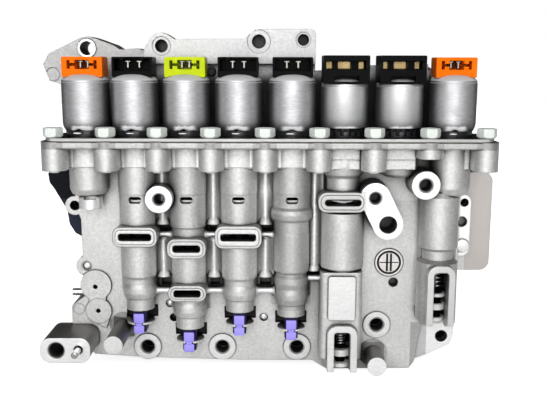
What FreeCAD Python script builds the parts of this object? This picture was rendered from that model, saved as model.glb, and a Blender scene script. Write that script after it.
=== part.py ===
import FreeCAD, Part
import math
import os
import Sketcher
from FreeCAD import Placement, Rotation, Vector

# Transmission valve body: two aluminium castings with a separator plate between them,
# eight solenoids held under one bracket, and the spool valves that the solenoids work.
# Frame: origin on the rear mounting face, +X to the right, +Z up, and the face looks along +Y,
# so everything stands out of the gearbox case towards -Y. Z = 0 is where the bracket bolts seat.

SIZES = {
    # Depths of the layers, counted from the mounting face towards the front
    "rear_depth": 28.5,
    "separator_thickness": 1.5,
    "base_thickness": 10.0,
    "bore_axis_depth": 46.0,
    "bolt_axis_depth": 64.0,
    # Stations of the eight solenoids along X, and the lower valve of the last column
    "station_1": -107.3,
    "station_2": -78.7,
    "station_3": -48.7,
    "station_4": -18.3,
    "station_5": 13.0,
    "station_6": 43.3,
    "station_7": 75.2,
    "station_8": 106.3,
    "valve_8": 100.9,
    "end_bolt_left": 15.2,
    "end_bolt_right": 16.2,
    # Front casting
    "base_left": 114.5,
    "base_right": 114.7,
    "base_bottom": 141.3,
    "bracket_thickness": 2.0,
    "flange_thickness": 4.0,
    "flange_front": 6.4,
    "boss_radius": 7.0,
    "boss_height": 12.7,
    "short_boss_height": 5.4,
    "fillet_reach": 3.4,
    "fillet_face": 56.1,
    "column_radius": 11.2,
    "rib_radius": 3.2,
    "waist_radius": 10.9,
    "nozzle_radius": 8.4,
    "barrel_6_radius": 13.0,
    "barrel_8_radius": 11.5,
    "slot_width": 7.4,
    "slot_height": 4.0,
    "slot_level": 37.3,
    "port_height": 11.5,
    "port_front": 61.0,
    "port_opening": 4.5,
    "port_bead": 0.4,
    "port_length": 19.5,
    "guide_face": 62.0,
    "pillar_radius": 5.5,
    "case_hole": 4.0,
    "spot_face_radius": 8.3,
    "spot_face_height": 1.0,
    "foot_front": 66.0,
    "foot_back": 37.0,
    "foot_hole": 4.4,
    "ear_radius": 5.8,
    # Valve bores
    "pocket_radius": 8.6,
    "pocket_depth": 22.0,
    "bore_radius": 6.0,
    "bore_6_radius": 6.6,
    "running_gap": 0.1,
    "seat_gap": 0.05,
    # Windows at the lower ends of columns 2 to 5
    "window_2": 105.4,
    "window_3": 117.0,
    "window_4": 106.4,
    "window_5": 109.2,
    "window_height": 7.45,
    "lip_thickness": 1.45,
    "window_half": 9.5,
    # Solenoids
    "can_radius": 13.7,
    "can_bottom": 3.0,
    "can_top": 35.4,
    "switch_can_top": 33.4,
    "neck_radius": 8.4,
    "plug_width": 23.2,
    "plug_height": 9.6,
    "plug_front": 53.5,
    "plug_depth": 16.0,
    "socket_width": 8.4,
    "socket_height": 5.2,
    "wide_socket_width": 20.6,
    "wide_socket_height": 7.0,
    "switch_socket_width": 23.2,
    "socket_depth": 12.0,
    "switch_plug_width": 26.0,
    "switch_plug_front": 59.6,
    "switch_plug_depth": 23.0,
    "switch_plug_extra": 1.0,
    "terminal_width": 2.6,
    "ring_wire": 1.0,
    # Spools and springs
    "stem_radius": 3.2,
    "land_height": 9.0,
    "pin_radius": 1.6,
    "spring_wire": 1.1,
    "spring_radius": 4.2,
    "spring_turns": 5.0,
    "end_plug_radius": 5.4,
    # Fasteners
    "bolt_radius": 3.0,
    "bolt_hole": 3.3,
    "bolt_flats": 10.0,
    "bolt_head": 5.6,
    "bolt_length": 20.0,
    "short_bolt_length": 11.0,
    "mouth_chamfer": 0.9,
    "joint_bolt_length": 30.0,
    "dowel_radius": 2.0,
    "locating_radius": 3.9,
    "spring_pin_radius": 2.3,
    "ball_radius": 2.5,
    "slotted_plug_radius": 8.8,
    "bore_1_plug_radius": 6.9,
    # Rear casting
    "channel_width": 7.5,
    "channel_depth": 12.0,
    "top_flange": 13.0,
    "ear_front": 22.0,
    "block_front": 24.0,
    "manual_radius": 7.0,
}

doc = FreeCAD.newDocument("transmission_valve_body")
sheet = doc.addObject("Spreadsheet::Sheet", "Sizes")
for row, (word, value) in enumerate(SIZES.items(), start=1):
    sheet.set(f"A{row}", word)
    sheet.set(f"B{row}", str(value))
    sheet.setAlias(f"B{row}", word)
doc.recompute()


class Size:
    """A length with the sheet expression that gives it, so that it can be bound to a feature."""

    def __init__(self, value, text):
        self.value = float(value)
        self.text = text

    def __add__(self, other):
        other = as_size(other)
        return Size(self.value + other.value, f"({self.text} + {other.text})")

    def __sub__(self, other):
        other = as_size(other)
        return Size(self.value - other.value, f"({self.text} - {other.text})")

    def __mul__(self, other):
        other = as_size(other)
        return Size(self.value * other.value, f"{self.text} * {other.text}")

    def __truediv__(self, other):
        other = as_size(other)
        return Size(self.value / other.value, f"{self.text} / {other.text}")

    def __neg__(self):
        return Size(-self.value, f"(-1 * {self.text})")

    def __radd__(self, other):
        return as_size(other) + self

    def __rsub__(self, other):
        return as_size(other) - self

    def __rmul__(self, other):
        return as_size(other) * self


def as_size(length):
    """A plain number as a Size."""
    return length if isinstance(length, Size) else Size(length, f"({float(length)!r})")


def sheet_size(word):
    """The named cell of the sheet as a Size."""
    return Size(sheet.get(word), f"Sizes.{word}")


class Sheet:
    """Gives each named cell as an attribute."""

    def __getattr__(self, word):
        return sheet_size(word)


mm = Sheet()

# Levels that several pieces share
SEPARATOR_BACK = -mm.rear_depth
BASE_BACK = SEPARATOR_BACK - mm.separator_thickness
BASE_FRONT = BASE_BACK - mm.base_thickness
BORE_Y = -mm.bore_axis_depth
BOLT_Y = -mm.bolt_axis_depth
BRACKET_UNDER = -mm.bracket_thickness
FLANGE_UNDER = BRACKET_UNDER - mm.flange_thickness
GALLERY_UNDER = FLANGE_UNDER - mm.boss_height
FLANGE_FRONT = BOLT_Y - mm.flange_front
POCKET_FLOOR = -mm.pocket_depth
STATIONS = [sheet_size(f"station_{number}") for number in range(1, 9)]
BOLTS = (
    [STATIONS[0] - mm.end_bolt_left]
    + [(left + right) / 2 for left, right in zip(STATIONS, STATIONS[1:])]
    + [STATIONS[7] + mm.end_bolt_right]
)
OVERCUT = 1.0


def bind(thing, **values):
    """Set properties and bind each to its expression."""
    for name, length in values.items():
        length = as_size(length)
        setattr(thing, name, length.value)
        thing.setExpression(name, length.text)


def place(thing, x, y, z, rotation=None):
    """Put a thing at a point whose coordinates stay bound to the sheet."""
    x, y, z = as_size(x), as_size(y), as_size(z)
    thing.Placement = Placement(Vector(x.value, y.value, z.value), rotation or Rotation())
    thing.setExpression("Placement.Base.x", x.text)
    thing.setExpression("Placement.Base.y", y.text)
    thing.setExpression("Placement.Base.z", z.text)
    return thing


TURNS = {"Z": Rotation(), "Y": Rotation(Vector(1, 0, 0), 90), "X": Rotation(Vector(0, 1, 0), 90)}


def box(name, x, y, z):
    """A block between pairs of limits along each axis."""
    block = doc.addObject("Part::Box", name)
    x, y, z = [tuple(as_size(limit) for limit in pair) for pair in (x, y, z)]
    bind(block, Length=x[1] - x[0], Width=y[1] - y[0], Height=z[1] - z[0])
    return place(block, x[0], y[0], z[0])


def cylinder(name, radius, x, y, z, length, axis="Z"):
    """A cylinder from a point: upwards for Z, towards the front (-Y) for Y, to the right for X."""
    rod = doc.addObject("Part::Cylinder", name)
    bind(rod, Radius=radius, Height=length)
    return place(rod, x, y, z, TURNS[axis])


def cone(name, radius_low, radius_high, x, y, z, length, axis="Z"):
    """A cone between two radii."""
    taper = doc.addObject("Part::Cone", name)
    bind(taper, Radius1=radius_low, Radius2=radius_high, Height=length)
    return place(taper, x, y, z, TURNS[axis])


def fuse(name, shapes):
    """All the shapes as one solid."""
    union = doc.addObject("Part::MultiFuse", name)
    union.Shapes = shapes
    union.Refine = True
    return union


def group(name, shapes):
    """Separate solids that share one node."""
    if len(shapes) == 1:
        shapes[0].Label = name
        return shapes[0]
    set_of = doc.addObject("Part::Compound", name)
    set_of.Links = shapes
    return set_of


def cut(name, base, tools):
    """The base with the tools taken away."""
    rest = doc.addObject("Part::Cut", name)
    rest.Base = base
    rest.Tool = tools[0] if len(tools) == 1 else fuse(name + "_tools", tools)
    rest.Refine = True
    return rest


def draw(sketch, points):
    """A closed outline of straight lines whose corners are bound to the sheet."""
    points = [(as_size(across), as_size(up)) for across, up in points]
    vectors = [Vector(across.value, up.value, 0) for across, up in points]
    count = len(points)
    lines = [Part.LineSegment(vectors[i], vectors[(i + 1) % count]) for i in range(count)]
    sketch.addGeometry(lines, False)
    for i in range(count):
        sketch.addConstraint(Sketcher.Constraint("Coincident", i, 2, (i + 1) % count, 1))
    for i, (across, up) in enumerate(points):
        if abs(across.value) < 1e-9:
            sketch.addConstraint(Sketcher.Constraint("PointOnObject", i, 1, -2))
        else:
            index = sketch.addConstraint(Sketcher.Constraint("DistanceX", -1, 1, i, 1, across.value))
            sketch.setExpression(f"Constraints[{index}]", across.text)
        if abs(up.value) < 1e-9:
            sketch.addConstraint(Sketcher.Constraint("PointOnObject", i, 1, -1))
        else:
            index = sketch.addConstraint(Sketcher.Constraint("DistanceY", -1, 1, i, 1, up.value))
            sketch.setExpression(f"Constraints[{index}]", up.text)


UPRIGHT = Rotation(Vector(1, 0, 0), 90)


def slab(name, outline, back, front, corner=0, only=None):
    """A plate of constant thickness from an outline in X and Z, between two depths."""
    sketch = doc.addObject("Sketcher::SketchObject", name + "_outline")
    draw(sketch, outline)
    place(sketch, 0, back, 0, UPRIGHT)
    plate = doc.addObject("Part::Extrusion", name)
    plate.Base = sketch
    plate.DirMode = "Custom"
    plate.Dir = Vector(0, -1, 0)
    plate.Solid = True
    bind(plate, LengthFwd=as_size(back) - front)
    if corner:
        return round_edges(plate, corner, "Y", only)
    return plate


def turned(name, profile, x, y, z=0):
    """A turned solid about an upright axis, from a profile of radius and height."""
    sketch = doc.addObject("Sketcher::SketchObject", name + "_profile")
    draw(sketch, profile)
    place(sketch, x, y, z, UPRIGHT)
    solid = doc.addObject("Part::Revolution", name)
    solid.Source = sketch
    solid.Axis = Vector(0, 0, 1)
    x, y = as_size(x), as_size(y)
    solid.Base = Vector(x.value, y.value, 0)
    solid.setExpression("Base.x", x.text)
    solid.setExpression("Base.y", y.text)
    solid.Angle = 360
    solid.Solid = True
    return solid


def round_edges(base, radius, axis, only=None):
    """Fillet the straight edges that run along an axis, or those of them that a test picks."""
    doc.recompute()
    along = {"X": Vector(1, 0, 0), "Y": Vector(0, 1, 0), "Z": Vector(0, 0, 1)}[axis]
    radius = as_size(radius).value
    picked = []
    for index, edge in enumerate(base.Shape.Edges, start=1):
        if edge.Curve.TypeId != "Part::GeomLine":
            continue
        start, end = edge.Vertexes[0].Point, edge.Vertexes[-1].Point
        direction = (end - start).normalize()
        if abs(abs(direction.dot(along)) - 1) > 1e-6:
            continue
        if only is None or only((start + end) / 2):
            picked.append((index, radius, radius))
    rounded = doc.addObject("Part::Fillet", base.Name + "_rounded")
    rounded.Base = base
    rounded.Edges = picked
    return rounded


def rounded_block(name, x, y, z, corner, axis="Y"):
    """A block whose four edges along one axis are rounded."""
    return round_edges(box(name, x, y, z), corner, axis)


def helix_spring(name, x, low, high, turns):
    """A coil spring of round wire between two levels, with its end coils inside them."""
    wire = mm.spring_wire.value / 2
    radius = mm.spring_radius.value
    length = high.value - low.value - 2 * wire
    path = Part.makeHelix(length / turns, length, radius)
    start = path.Edges[0].Vertexes[0].Point
    section = Part.Wire(Part.makeCircle(wire, start, Vector(0, 1, 0)))
    coil = Part.Wire(path.Edges).makePipeShell([section], True, True)
    spring = doc.addObject("Part::Feature", name)
    spring.Shape = coil
    spring.Placement = Placement(Vector(x.value, BORE_Y.value, low.value + wire), Rotation())
    return spring


# Front casting. Columns 2 to 5 end in a window that is this far down, with the same lower end.
WINDOWS = {2: mm.window_2, 3: mm.window_3, 4: mm.window_4, 5: mm.window_5}
CASE_HOLES = [(-76.0, -132.5), (-29.5, -132.5), (16.9, -132.5), (66.1, -118.0)]
EAR_UPPER = (-118.0, -43.5, 3.0)
EAR_LOWER = (-112.3, -81.2, 2.5)
EAR_RIGHT = (107.4, -126.8, 3.8)
FOOT = (-126.2, -125.9)
DOWEL = (-113.0, -125.5)
PILLAR_LEFT = (-90.3, -119.2)
PILLAR_RIGHT = (64.0, -136.2)
CHECK_UPPER = (-106.9, -93.0)
CHECK_LOWER = (-105.6, -109.3)
SPRING_PIN = (-122.5, -98.9)
LOCATING = (118.0, -68.4)
PLUG = (72.8, -78.3)
BALLS = [(-61.7, -104.7), (-3.8, -113.4)]
BALL_DEPTH = 3.0
JOINT_BOLTS = [(-104.0, -54.0), (-92.0, -122.0), (0.0, -46.0), (-6.0, -127.0), (56.0, -56.0), (106.0, -58.0)]
STRIP_LIMITS = ((108.0, 122.4), (-75.0, -36.8))
SWITCHES = (6, 7)
SHORT_BOSS = 8
PARTING_LEVEL = -13.0


def lower_end(window, waist):
    """The profile of a column from its waist to its rounded foot below the window."""
    return [
        (waist, window + 21.4),
        (9.3, window + 19.6),
        (9.3, window + 16.4),
        (10.2, window + 14.2),
        (10.3, window + 11.0),
        (9.5, window + 7.8),
        (mm.nozzle_radius, window + 6.9),
        (mm.nozzle_radius, window - mm.window_height - mm.lip_thickness + 0.6),
        (mm.nozzle_radius - 0.6, window - mm.window_height - mm.lip_thickness),
        (0, window - mm.window_height - mm.lip_thickness),
    ]


def column(number, x, profile):
    """One upright column of the casting, from the underside of the bracket down."""
    return turned(f"column_{number}", [(0, BRACKET_UNDER), (profile[0][0], BRACKET_UNDER)] + profile, x, BORE_Y)


def columns():
    """The eight columns that hold the solenoid pockets and the valve bores."""
    upper = mm.column_radius
    waist = mm.waist_radius
    short = [(upper, -31.5), (upper - 1.2, -34.4), (upper - 4.0, -35.7), (0, -35.7)]
    stub = [(upper + 0.4, -18.5), (upper - 1.0, -22.4), (upper - 4.0, -24.1), (0, -24.1)]
    plain = [(upper, -33.9), (waist, -34.5), (waist, -54.0), (waist - 0.9, -54.6), (waist - 0.9, -60.0)]
    ringed = [
        (upper + 0.2, -33.6),
        (upper, -34.2),
        (upper, -42.0),
        (upper + 1.2, -43.6),
        (upper + 1.6, -46.0),
        (upper + 1.2, -49.0),
        (waist - 0.2, -50.6),
        (waist - 0.2, -57.6),
        (waist, -58.0),
        (waist, -81.0),
        (9.3, -82.4),
        (9.3, -83.6),
        (10.3, -85.2),
        (10.4, -88.6),
        (9.6, -92.0),
    ]
    sixth = [
        (upper + 1.2, -17.5),
        (upper + 0.2, -22.5),
        (upper - 1.5, -24.6),
        (upper - 1.5, -43.0),
        (mm.barrel_6_radius, -45.2),
        (mm.barrel_6_radius, -78.6),
        (upper, -80.4),
        (upper, -135.5),
        (upper - 1.2, -140.0),
        (upper - 3.2, -142.6),
        (0, -142.6),
    ]
    eighth = [(upper + 0.6, -30.5), (upper - 0.8, -34.0), (upper - 4.0, -35.8), (0, -35.8)]
    valve = mm.barrel_8_radius
    lower_eighth = [
        (valve - 2.0, -33.0),
        (valve, -36.0),
        (valve, -66.5),
        (valve - 2.1, -68.0),
        (valve - 2.1, -73.5),
        (valve + 0.6, -75.5),
        (valve + 0.6, -111.5),
        (valve - 1.6, -114.2),
        (0, -114.2),
    ]
    return [
        column(1, STATIONS[0], short),
        column(2, STATIONS[1], plain + [(waist, -61.0)] + lower_end(-WINDOWS[2], waist)),
        column(3, STATIONS[2], plain + [(waist - 0.4, -66.0)] + lower_end(-WINDOWS[3], waist - 0.4)),
        column(4, STATIONS[3], plain + [(waist, -61.0)] + lower_end(-WINDOWS[4], waist)),
        column(5, STATIONS[4], ringed + lower_end(-WINDOWS[5], waist)[3:]),
        column(6, STATIONS[5], sixth),
        column(7, STATIONS[6], stub),
        column(8, STATIONS[7], eighth),
        turned("column_9", [(0, -33.0)] + lower_eighth, mm.valve_8, BORE_Y),
    ]


def base_outline(grow=0.0):
    """The outline that the front casting, the separator plate and the rear casting share."""
    left, right, bottom = -mm.base_left - grow, mm.base_right + grow, -mm.base_bottom - grow
    return [
        (left - 3.0, BRACKET_UNDER),
        (left - 3.0, -44.0),
        (left, -52.0),
        (left, -100.6),
        (left - 8.0, -106.5),
        (left - 8.0, -120.0),
        (left + 5.2, bottom + 3.7),
        (-80.7, bottom + 1.7),
        (-18.6, bottom),
        (26.3, bottom),
        (35.5, bottom - 5.6),
        (87.0, bottom - 5.0),
        (90.1, bottom - 0.5),
        (98.2, bottom + 2.5),
        (right - 2.0, bottom + 9.5),
        (right, bottom + 16.0),
        (right, BRACKET_UNDER),
    ]


def base_plate():
    """The floor of the front casting with its ears, its set-back corner and the end strip."""
    floor = slab("floor", base_outline(), BASE_BACK, BASE_FRONT)
    ears = [
        cylinder("ear_upper", mm.ear_radius, EAR_UPPER[0], BASE_BACK, EAR_UPPER[1], mm.base_thickness, "Y"),
        cylinder("ear_lower", mm.ear_radius + 0.6, EAR_LOWER[0], BASE_BACK, EAR_LOWER[1], mm.base_thickness, "Y"),
        rounded_block("end_strip", STRIP_LIMITS[0], (BASE_BACK - 6.0, BASE_BACK), STRIP_LIMITS[1], 4.8),
    ]
    step = [(94.2, -117.0), (130.0, -117.0), (130.0, -150.0), (88.6, -150.0)]
    corner = slab("set_back", step, BASE_BACK - 6.0, -60.0)
    return cut("base_plate", fuse("floor_and_ears", [floor] + ears), [corner])


def boss_foot(number):
    """The level where a bolt boss ends; the eighth is short, to clear the threaded boss under it."""
    return FLANGE_UNDER - (mm.short_boss_height if number == SHORT_BOSS else mm.boss_height)


def gallery():
    """The top flange and the bolt bosses under it, with webs to the floor and thick fillets to the columns."""
    depth = (FLANGE_FRONT, BASE_BACK)
    flange = rounded_block("flange", (BOLTS[0], BOLTS[8]), depth, (FLANGE_UNDER, BRACKET_UNDER), 1.0, "X")
    solids = [flange]
    for number, x in enumerate(BOLTS, start=1):
        under = boss_foot(number)
        solids.append(cylinder(f"boss_{number}", mm.boss_radius, x, BOLT_Y, under, BRACKET_UNDER - under))
        web = (x - mm.boss_radius, x + mm.boss_radius)
        solids.append(box(f"web_{number}", web, (BOLT_Y, BASE_BACK), (under, BRACKET_UNDER)))
        left = x - mm.boss_radius - (mm.fillet_reach if number > 1 else 0.0)
        right = x + mm.boss_radius + (mm.fillet_reach if number < len(BOLTS) else 0.0)
        solids.append(box(f"fillet_{number}", (left, right), (-mm.fillet_face, BASE_BACK), (under, FLANGE_UNDER)))
    for number in SWITCHES:
        x = STATIONS[number - 1]
        for name, front, low, high in (
            ("upper", -58.5, PARTING_LEVEL, FLANGE_UNDER),
            ("lower", -58.1, boss_foot(1), PARTING_LEVEL),
        ):
            reach = 8.6
            solids.append(box(f"pad_{number}_{name}", (x - reach, x + reach), (front, BORE_Y), (low, high)))
    return solids


def port(name, x, z, length, height):
    """The raised rim of a slotted oil port: an as-cast block with a smaller milled face on it."""
    half = as_size(length) / 2 + 3.1
    high = as_size(height) / 2
    inset = 1.6
    front = -mm.port_front
    cast = (front + mm.port_bead, BORE_Y + 3.0)
    milled = (front, front + 2 * mm.port_bead)
    block = rounded_block(name, (x - half, x + half), cast, (z - high, z + high), 4.6)
    half, high = half - inset, high - inset
    face = rounded_block(name + "_face", (x - half, x + half), milled, (z - high, z + high), 3.0)
    return [block, face]


def slot(name, x, z, length, height, front):
    """The slotted opening through a rim or a column into the bore behind it."""
    half = as_size(length) / 2
    high = as_size(height) / 2
    return rounded_block(name, (x - half, x + half), (-as_size(front) - OVERCUT, BORE_Y), (z - high, z + high), 1.7)


def ports():
    """Rims and openings of the oil ports, as two lists."""
    length = mm.port_length
    height = mm.port_height
    places = [
        ("port_2", STATIONS[1], -58.5, length, height),
        ("port_3_upper", STATIONS[2], -65.4, length - 3.2, height),
        ("port_3_lower", STATIONS[2], -92.5, length - 3.4, height - 2.1),
        ("port_4", STATIONS[3], -58.5, length + 1.4, height + 1.6),
    ]
    rims = []
    holes = []
    for name, x, z, long, high in places:
        rims += port(name, x, z, long, high)
        holes.append(slot(name + "_slot", x, z, long, mm.port_opening, mm.port_front))
    rims.append(rounded_block("port_6", (28.2, 56.0), (-60.0, BORE_Y + 3.0), (-43.6, -32.0), 5.0))
    holes.append(rounded_block("port_6_slot", (32.0, 53.2), (-60.0 - OVERCUT, BORE_Y), (-40.0, -36.0), 1.9))
    for number in WINDOWS:
        x = STATIONS[number - 1]
        holes.append(slot(f"slot_{number}", x, -mm.slot_level, mm.slot_width, mm.slot_height, 60.0))
    return rims, holes


def mouth(name, radius, x, z, front):
    """The chamfer at the front of a drilled hole."""
    rise = mm.mouth_chamfer + 0.3
    return cone(name, radius, as_size(radius) + rise, x, as_size(front) + mm.mouth_chamfer, z, rise, "Y")


def link_flange():
    """The machined two-hole flange beside column 6."""
    radius = 8.9
    upper = (61.2, -35.2)
    lower = (68.9, -50.9)
    height = 60.0 + BASE_BACK.value
    run = Vector(lower[0] - upper[0], 0, lower[1] - upper[1])
    bar = doc.addObject("Part::Box", "link_bar")
    bind(bar, Length=2 * radius, Width=height, Height=run.Length)
    turn = Rotation(Vector(0, 0, 1), run)
    corner = Vector(upper[0], -60.0, upper[1]) + turn.multVec(Vector(-radius, 0, 0))
    bar.Placement = Placement(corner, turn)
    lobes = [cylinder(f"link_lobe_{z}", radius, x, BASE_BACK, z, height, "Y") for x, z in (upper, lower)]
    holes = [
        cylinder("link_thread", 3.2, upper[0], -48.0, upper[1], 14.0, "Y"),
        cylinder("link_port", 5.2, lower[0], -42.0, lower[1], 20.0, "Y"),
        mouth("link_thread_mouth", 3.2, *upper, -60.0),
    ]
    return [bar] + lobes, holes


def guide_windows():
    """The two upright rims with an open-bottomed window over valves 6 and 8."""
    rims = []
    cuts = []
    for number, x, half, slit, low, high, foot in (
        (6, STATIONS[5], 8.9, 4.9, -140.6, -111.9, -144.0),
        (8, mm.valve_8, 8.1, 4.4, -111.6, -75.2, -116.0),
    ):
        face = -mm.guide_face
        rim = box(f"guide_{number}", (x - half, x + half), (face, BORE_Y), (low, high))
        rims.append(round_edges(rim, 6.0, "Y", lambda point: point.z > -112.5 and point.z > high - 1))
        window = box(f"guide_{number}_slit", (x - slit, x + slit), (face - OVERCUT, BORE_Y), (foot, high - 4.0))
        cuts.append(round_edges(window, 2.0, "Y", lambda point: point.z > high - 5))
    x = STATIONS[5]
    rims.append(rounded_block("block_6", (x - 13.2, x + 11.8), (-57.4, BASE_FRONT), (-134.0, -80.4), 3.0, "Z"))
    rims.append(rounded_block("guide_pad", (x - 8.5, x + 7.5), (-59.6, BORE_Y), (-109.0, -82.4), 1.5))
    return rims, cuts


def bosses():
    """Threaded bosses, spot faces, pillars, the check-valve pads and the foot, with their holes."""
    solids = [
        cylinder("boss_a", 7.9, -64.0, BASE_BACK, -35.9, mm.guide_face + BASE_BACK, "Y"),
        cylinder("boss_b", 8.2, 89.8, BASE_BACK, -27.4, mm.guide_face + BASE_BACK, "Y"),
        cylinder("pillar_left", mm.pillar_radius, PILLAR_LEFT[0], BASE_BACK, PILLAR_LEFT[1], 45.5, "Y"),
        cylinder("pillar_right", mm.pillar_radius + 0.2, PILLAR_RIGHT[0], BASE_BACK, PILLAR_RIGHT[1], 34.0, "Y"),
        cone("pillar_left_root", 9.0, mm.pillar_radius, PILLAR_LEFT[0], BASE_FRONT, PILLAR_LEFT[1], 3.0, "Y"),
        cone("pillar_right_root", 9.0, mm.pillar_radius, PILLAR_RIGHT[0], BASE_FRONT, PILLAR_RIGHT[1], 3.0, "Y"),
        cylinder("check_pad_upper", 9.5, CHECK_UPPER[0], BASE_BACK, CHECK_UPPER[1], mm.base_thickness + 1.4, "Y"),
        cylinder("check_pad_lower", 7.9, CHECK_LOWER[0], BASE_BACK, CHECK_LOWER[1], mm.base_thickness + 1.7, "Y"),
        box("check_pad_neck", (-111.2, -101.0), (BASE_FRONT - 1.4, BASE_BACK), (-105.0, -97.0)),
        slab("check_pad_tail", [(-98.4, -112.0), (-101.3, -120.4), (-108.8, -116.2)], BASE_BACK, BASE_FRONT - 1.4),
        rounded_block("foot", (-135.6, -106.0), (-mm.foot_front, -mm.foot_back), (-133.6, -118.3), 6.0),
    ]
    holes = [
        cylinder("boss_a_thread", 3.1, -64.0, -mm.guide_face + 14.0, -35.9, 14.0 + OVERCUT, "Y"),
        cylinder("boss_b_thread", 3.6, 89.8, -mm.guide_face + 14.0, -27.4, 14.0 + OVERCUT, "Y"),
        cylinder("plug_seat", mm.slotted_plug_radius + mm.seat_gap, PLUG[0], BASE_BACK - 2.0, PLUG[1], 12.0, "Y"),
        cylinder("check_vent_upper", 1.4, -107.2, BASE_BACK - 4.0, -94.0, 12.0, "Y"),
        cylinder("check_vent_lower", 1.4, -105.8, BASE_BACK - 4.0, -109.2, 12.0, "Y"),
        cylinder("upper_ear_hole", EAR_UPPER[2], EAR_UPPER[0], BASE_BACK + OVERCUT, EAR_UPPER[1], 20.0, "Y"),
        cylinder("lower_ear_hole", EAR_LOWER[2], EAR_LOWER[0], BASE_BACK + OVERCUT, EAR_LOWER[1], 20.0, "Y"),
        cylinder("right_ear_hole", EAR_RIGHT[2], EAR_RIGHT[0], BASE_BACK + OVERCUT, EAR_RIGHT[1], 20.0, "Y"),
        cylinder("foot_hole", mm.foot_hole, FOOT[0], BASE_BACK + OVERCUT, FOOT[1], 50.0, "Y"),
        cylinder("dowel_hole", 2.7, DOWEL[0], -mm.foot_front + 12.0, DOWEL[1], 12.0 + OVERCUT, "Y"),
        cylinder("dowel_seat", mm.dowel_radius, DOWEL[0], -mm.foot_front + 24.0, DOWEL[1], 12.0 + OVERCUT, "Y"),
        cylinder("strip_hole", 2.5, 118.4, BASE_BACK + OVERCUT, -41.8, 20.0, "Y"),
        cylinder("strip_port", 3.3, 117.2, BASE_BACK - 1.5, -53.6, 20.0, "Y"),
        cylinder("locating_seat", mm.locating_radius, LOCATING[0], BASE_BACK - 1.0, LOCATING[1], 20.0, "Y"),
        cylinder("spring_pin_seat", mm.spring_pin_radius, SPRING_PIN[0], BASE_BACK - 5.0, SPRING_PIN[1], 12.0, "X"),
        mouth("boss_a_mouth", 3.1, -64.0, -35.9, -mm.guide_face),
        mouth("boss_b_mouth", 3.6, 89.8, -27.4, -mm.guide_face),
        mouth("foot_mouth", mm.foot_hole, *FOOT, -mm.foot_front),
        mouth("lower_ear_mouth", EAR_LOWER[2], EAR_LOWER[0], EAR_LOWER[1], BASE_FRONT),
        cylinder("front_mark", 3.6, -118.1, BASE_FRONT + 0.3, -108.5, 2.0, "Y"),
    ]
    for number, (x, z) in enumerate(CASE_HOLES, start=1):
        height = mm.base_thickness + mm.spot_face_height
        solids.append(cylinder(f"spot_face_{number}", mm.spot_face_radius, x, BASE_BACK, z, height, "Y"))
        holes.append(cylinder(f"case_hole_{number}", mm.case_hole, x, BASE_BACK + OVERCUT, z, 14.0, "Y"))
        holes.append(mouth(f"case_mouth_{number}", mm.case_hole, x, z, BASE_FRONT - mm.spot_face_height))
    deep = BALL_DEPTH + mm.ball_radius
    for number, (x, z) in enumerate(BALLS, start=1):
        wide = mm.ball_radius + 0.1
        holes.append(cylinder(f"ball_pocket_{number}", wide, x, BASE_FRONT + deep, z, deep + OVERCUT, "Y"))
    for number, (x, z, radius) in enumerate(((-59.4, -113.8, 2.6), (75.8, -90.9, 3.0)), start=1):
        holes.append(cylinder(f"blind_hole_{number}", radius, x, BASE_FRONT + 7.0, z, 7.0 + OVERCUT, "Y"))
    for number, (x, z) in enumerate(JOINT_BOLTS, start=1):
        seat = mm.bolt_radius + mm.seat_gap
        holes.append(cylinder(f"joint_thread_{number}", seat, x, BASE_BACK + OVERCUT, z, 8.5 + OVERCUT, "Y"))
    return solids, holes


def rib_rows():
    """For each gap from column 2 to column 6: its middle, its ribs, its cross bars and its pockets."""
    rows = []
    for left in (1, 2, 3):
        middle = (STATIONS[left] + STATIONS[left + 1]) / 2
        pockets = ((-92.8, -87.0), (-58.2, -53.5))
        rows.append((middle, ((-53.0, -17.0), (-85.3, -61.0)), (-59.7, -94.4), pockets))
    middle = (STATIONS[4] + STATIONS[5]) / 2 - 1.6
    rows.append((middle, ((-81.4, -17.0),), (-86.4,), ((-85.0, -81.6), (-90.2, -87.8))))
    return rows


def ribs():
    """Upright ribs with flared feet on low webs between the columns, the short cross bars and the pockets."""
    solids = []
    holes = []
    for number, (x, spans, levels, pockets) in enumerate(rib_rows(), start=1):
        for low, high in spans:
            radius = mm.rib_radius
            y = BORE_Y + 0.7
            solids.append(cylinder(f"rib_{number}_{high}", radius, x, y, low, high - low))
            solids.append(cone(f"rib_foot_{number}_{high}", radius + 1.9, radius, x, y, low, 4.5))
            web = (x - 5.4, x + 5.4)
            solids.append(box(f"rib_web_{number}_{high}", web, (y + 0.5, BASE_FRONT), (low, high)))
        for level in levels:
            bar = (level - 1.3, level + 1.3)
            solids.append(box(f"bar_{number}_{level}", (x - 6.0, x + 6.0), (BORE_Y - 1.0, BASE_FRONT), bar))
        for low, high in pockets:
            depth = (BASE_FRONT - 3.0, BASE_FRONT + 7.0)
            holes.append(box(f"pocket_{number}_{high}", (x - 5.2, x + 5.2), depth, (low, high)))
    return solids, holes


def bolt_reach(number):
    """How far a bracket bolt reaches down from its head."""
    return mm.short_bolt_length if number == SHORT_BOSS else mm.bolt_length


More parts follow.
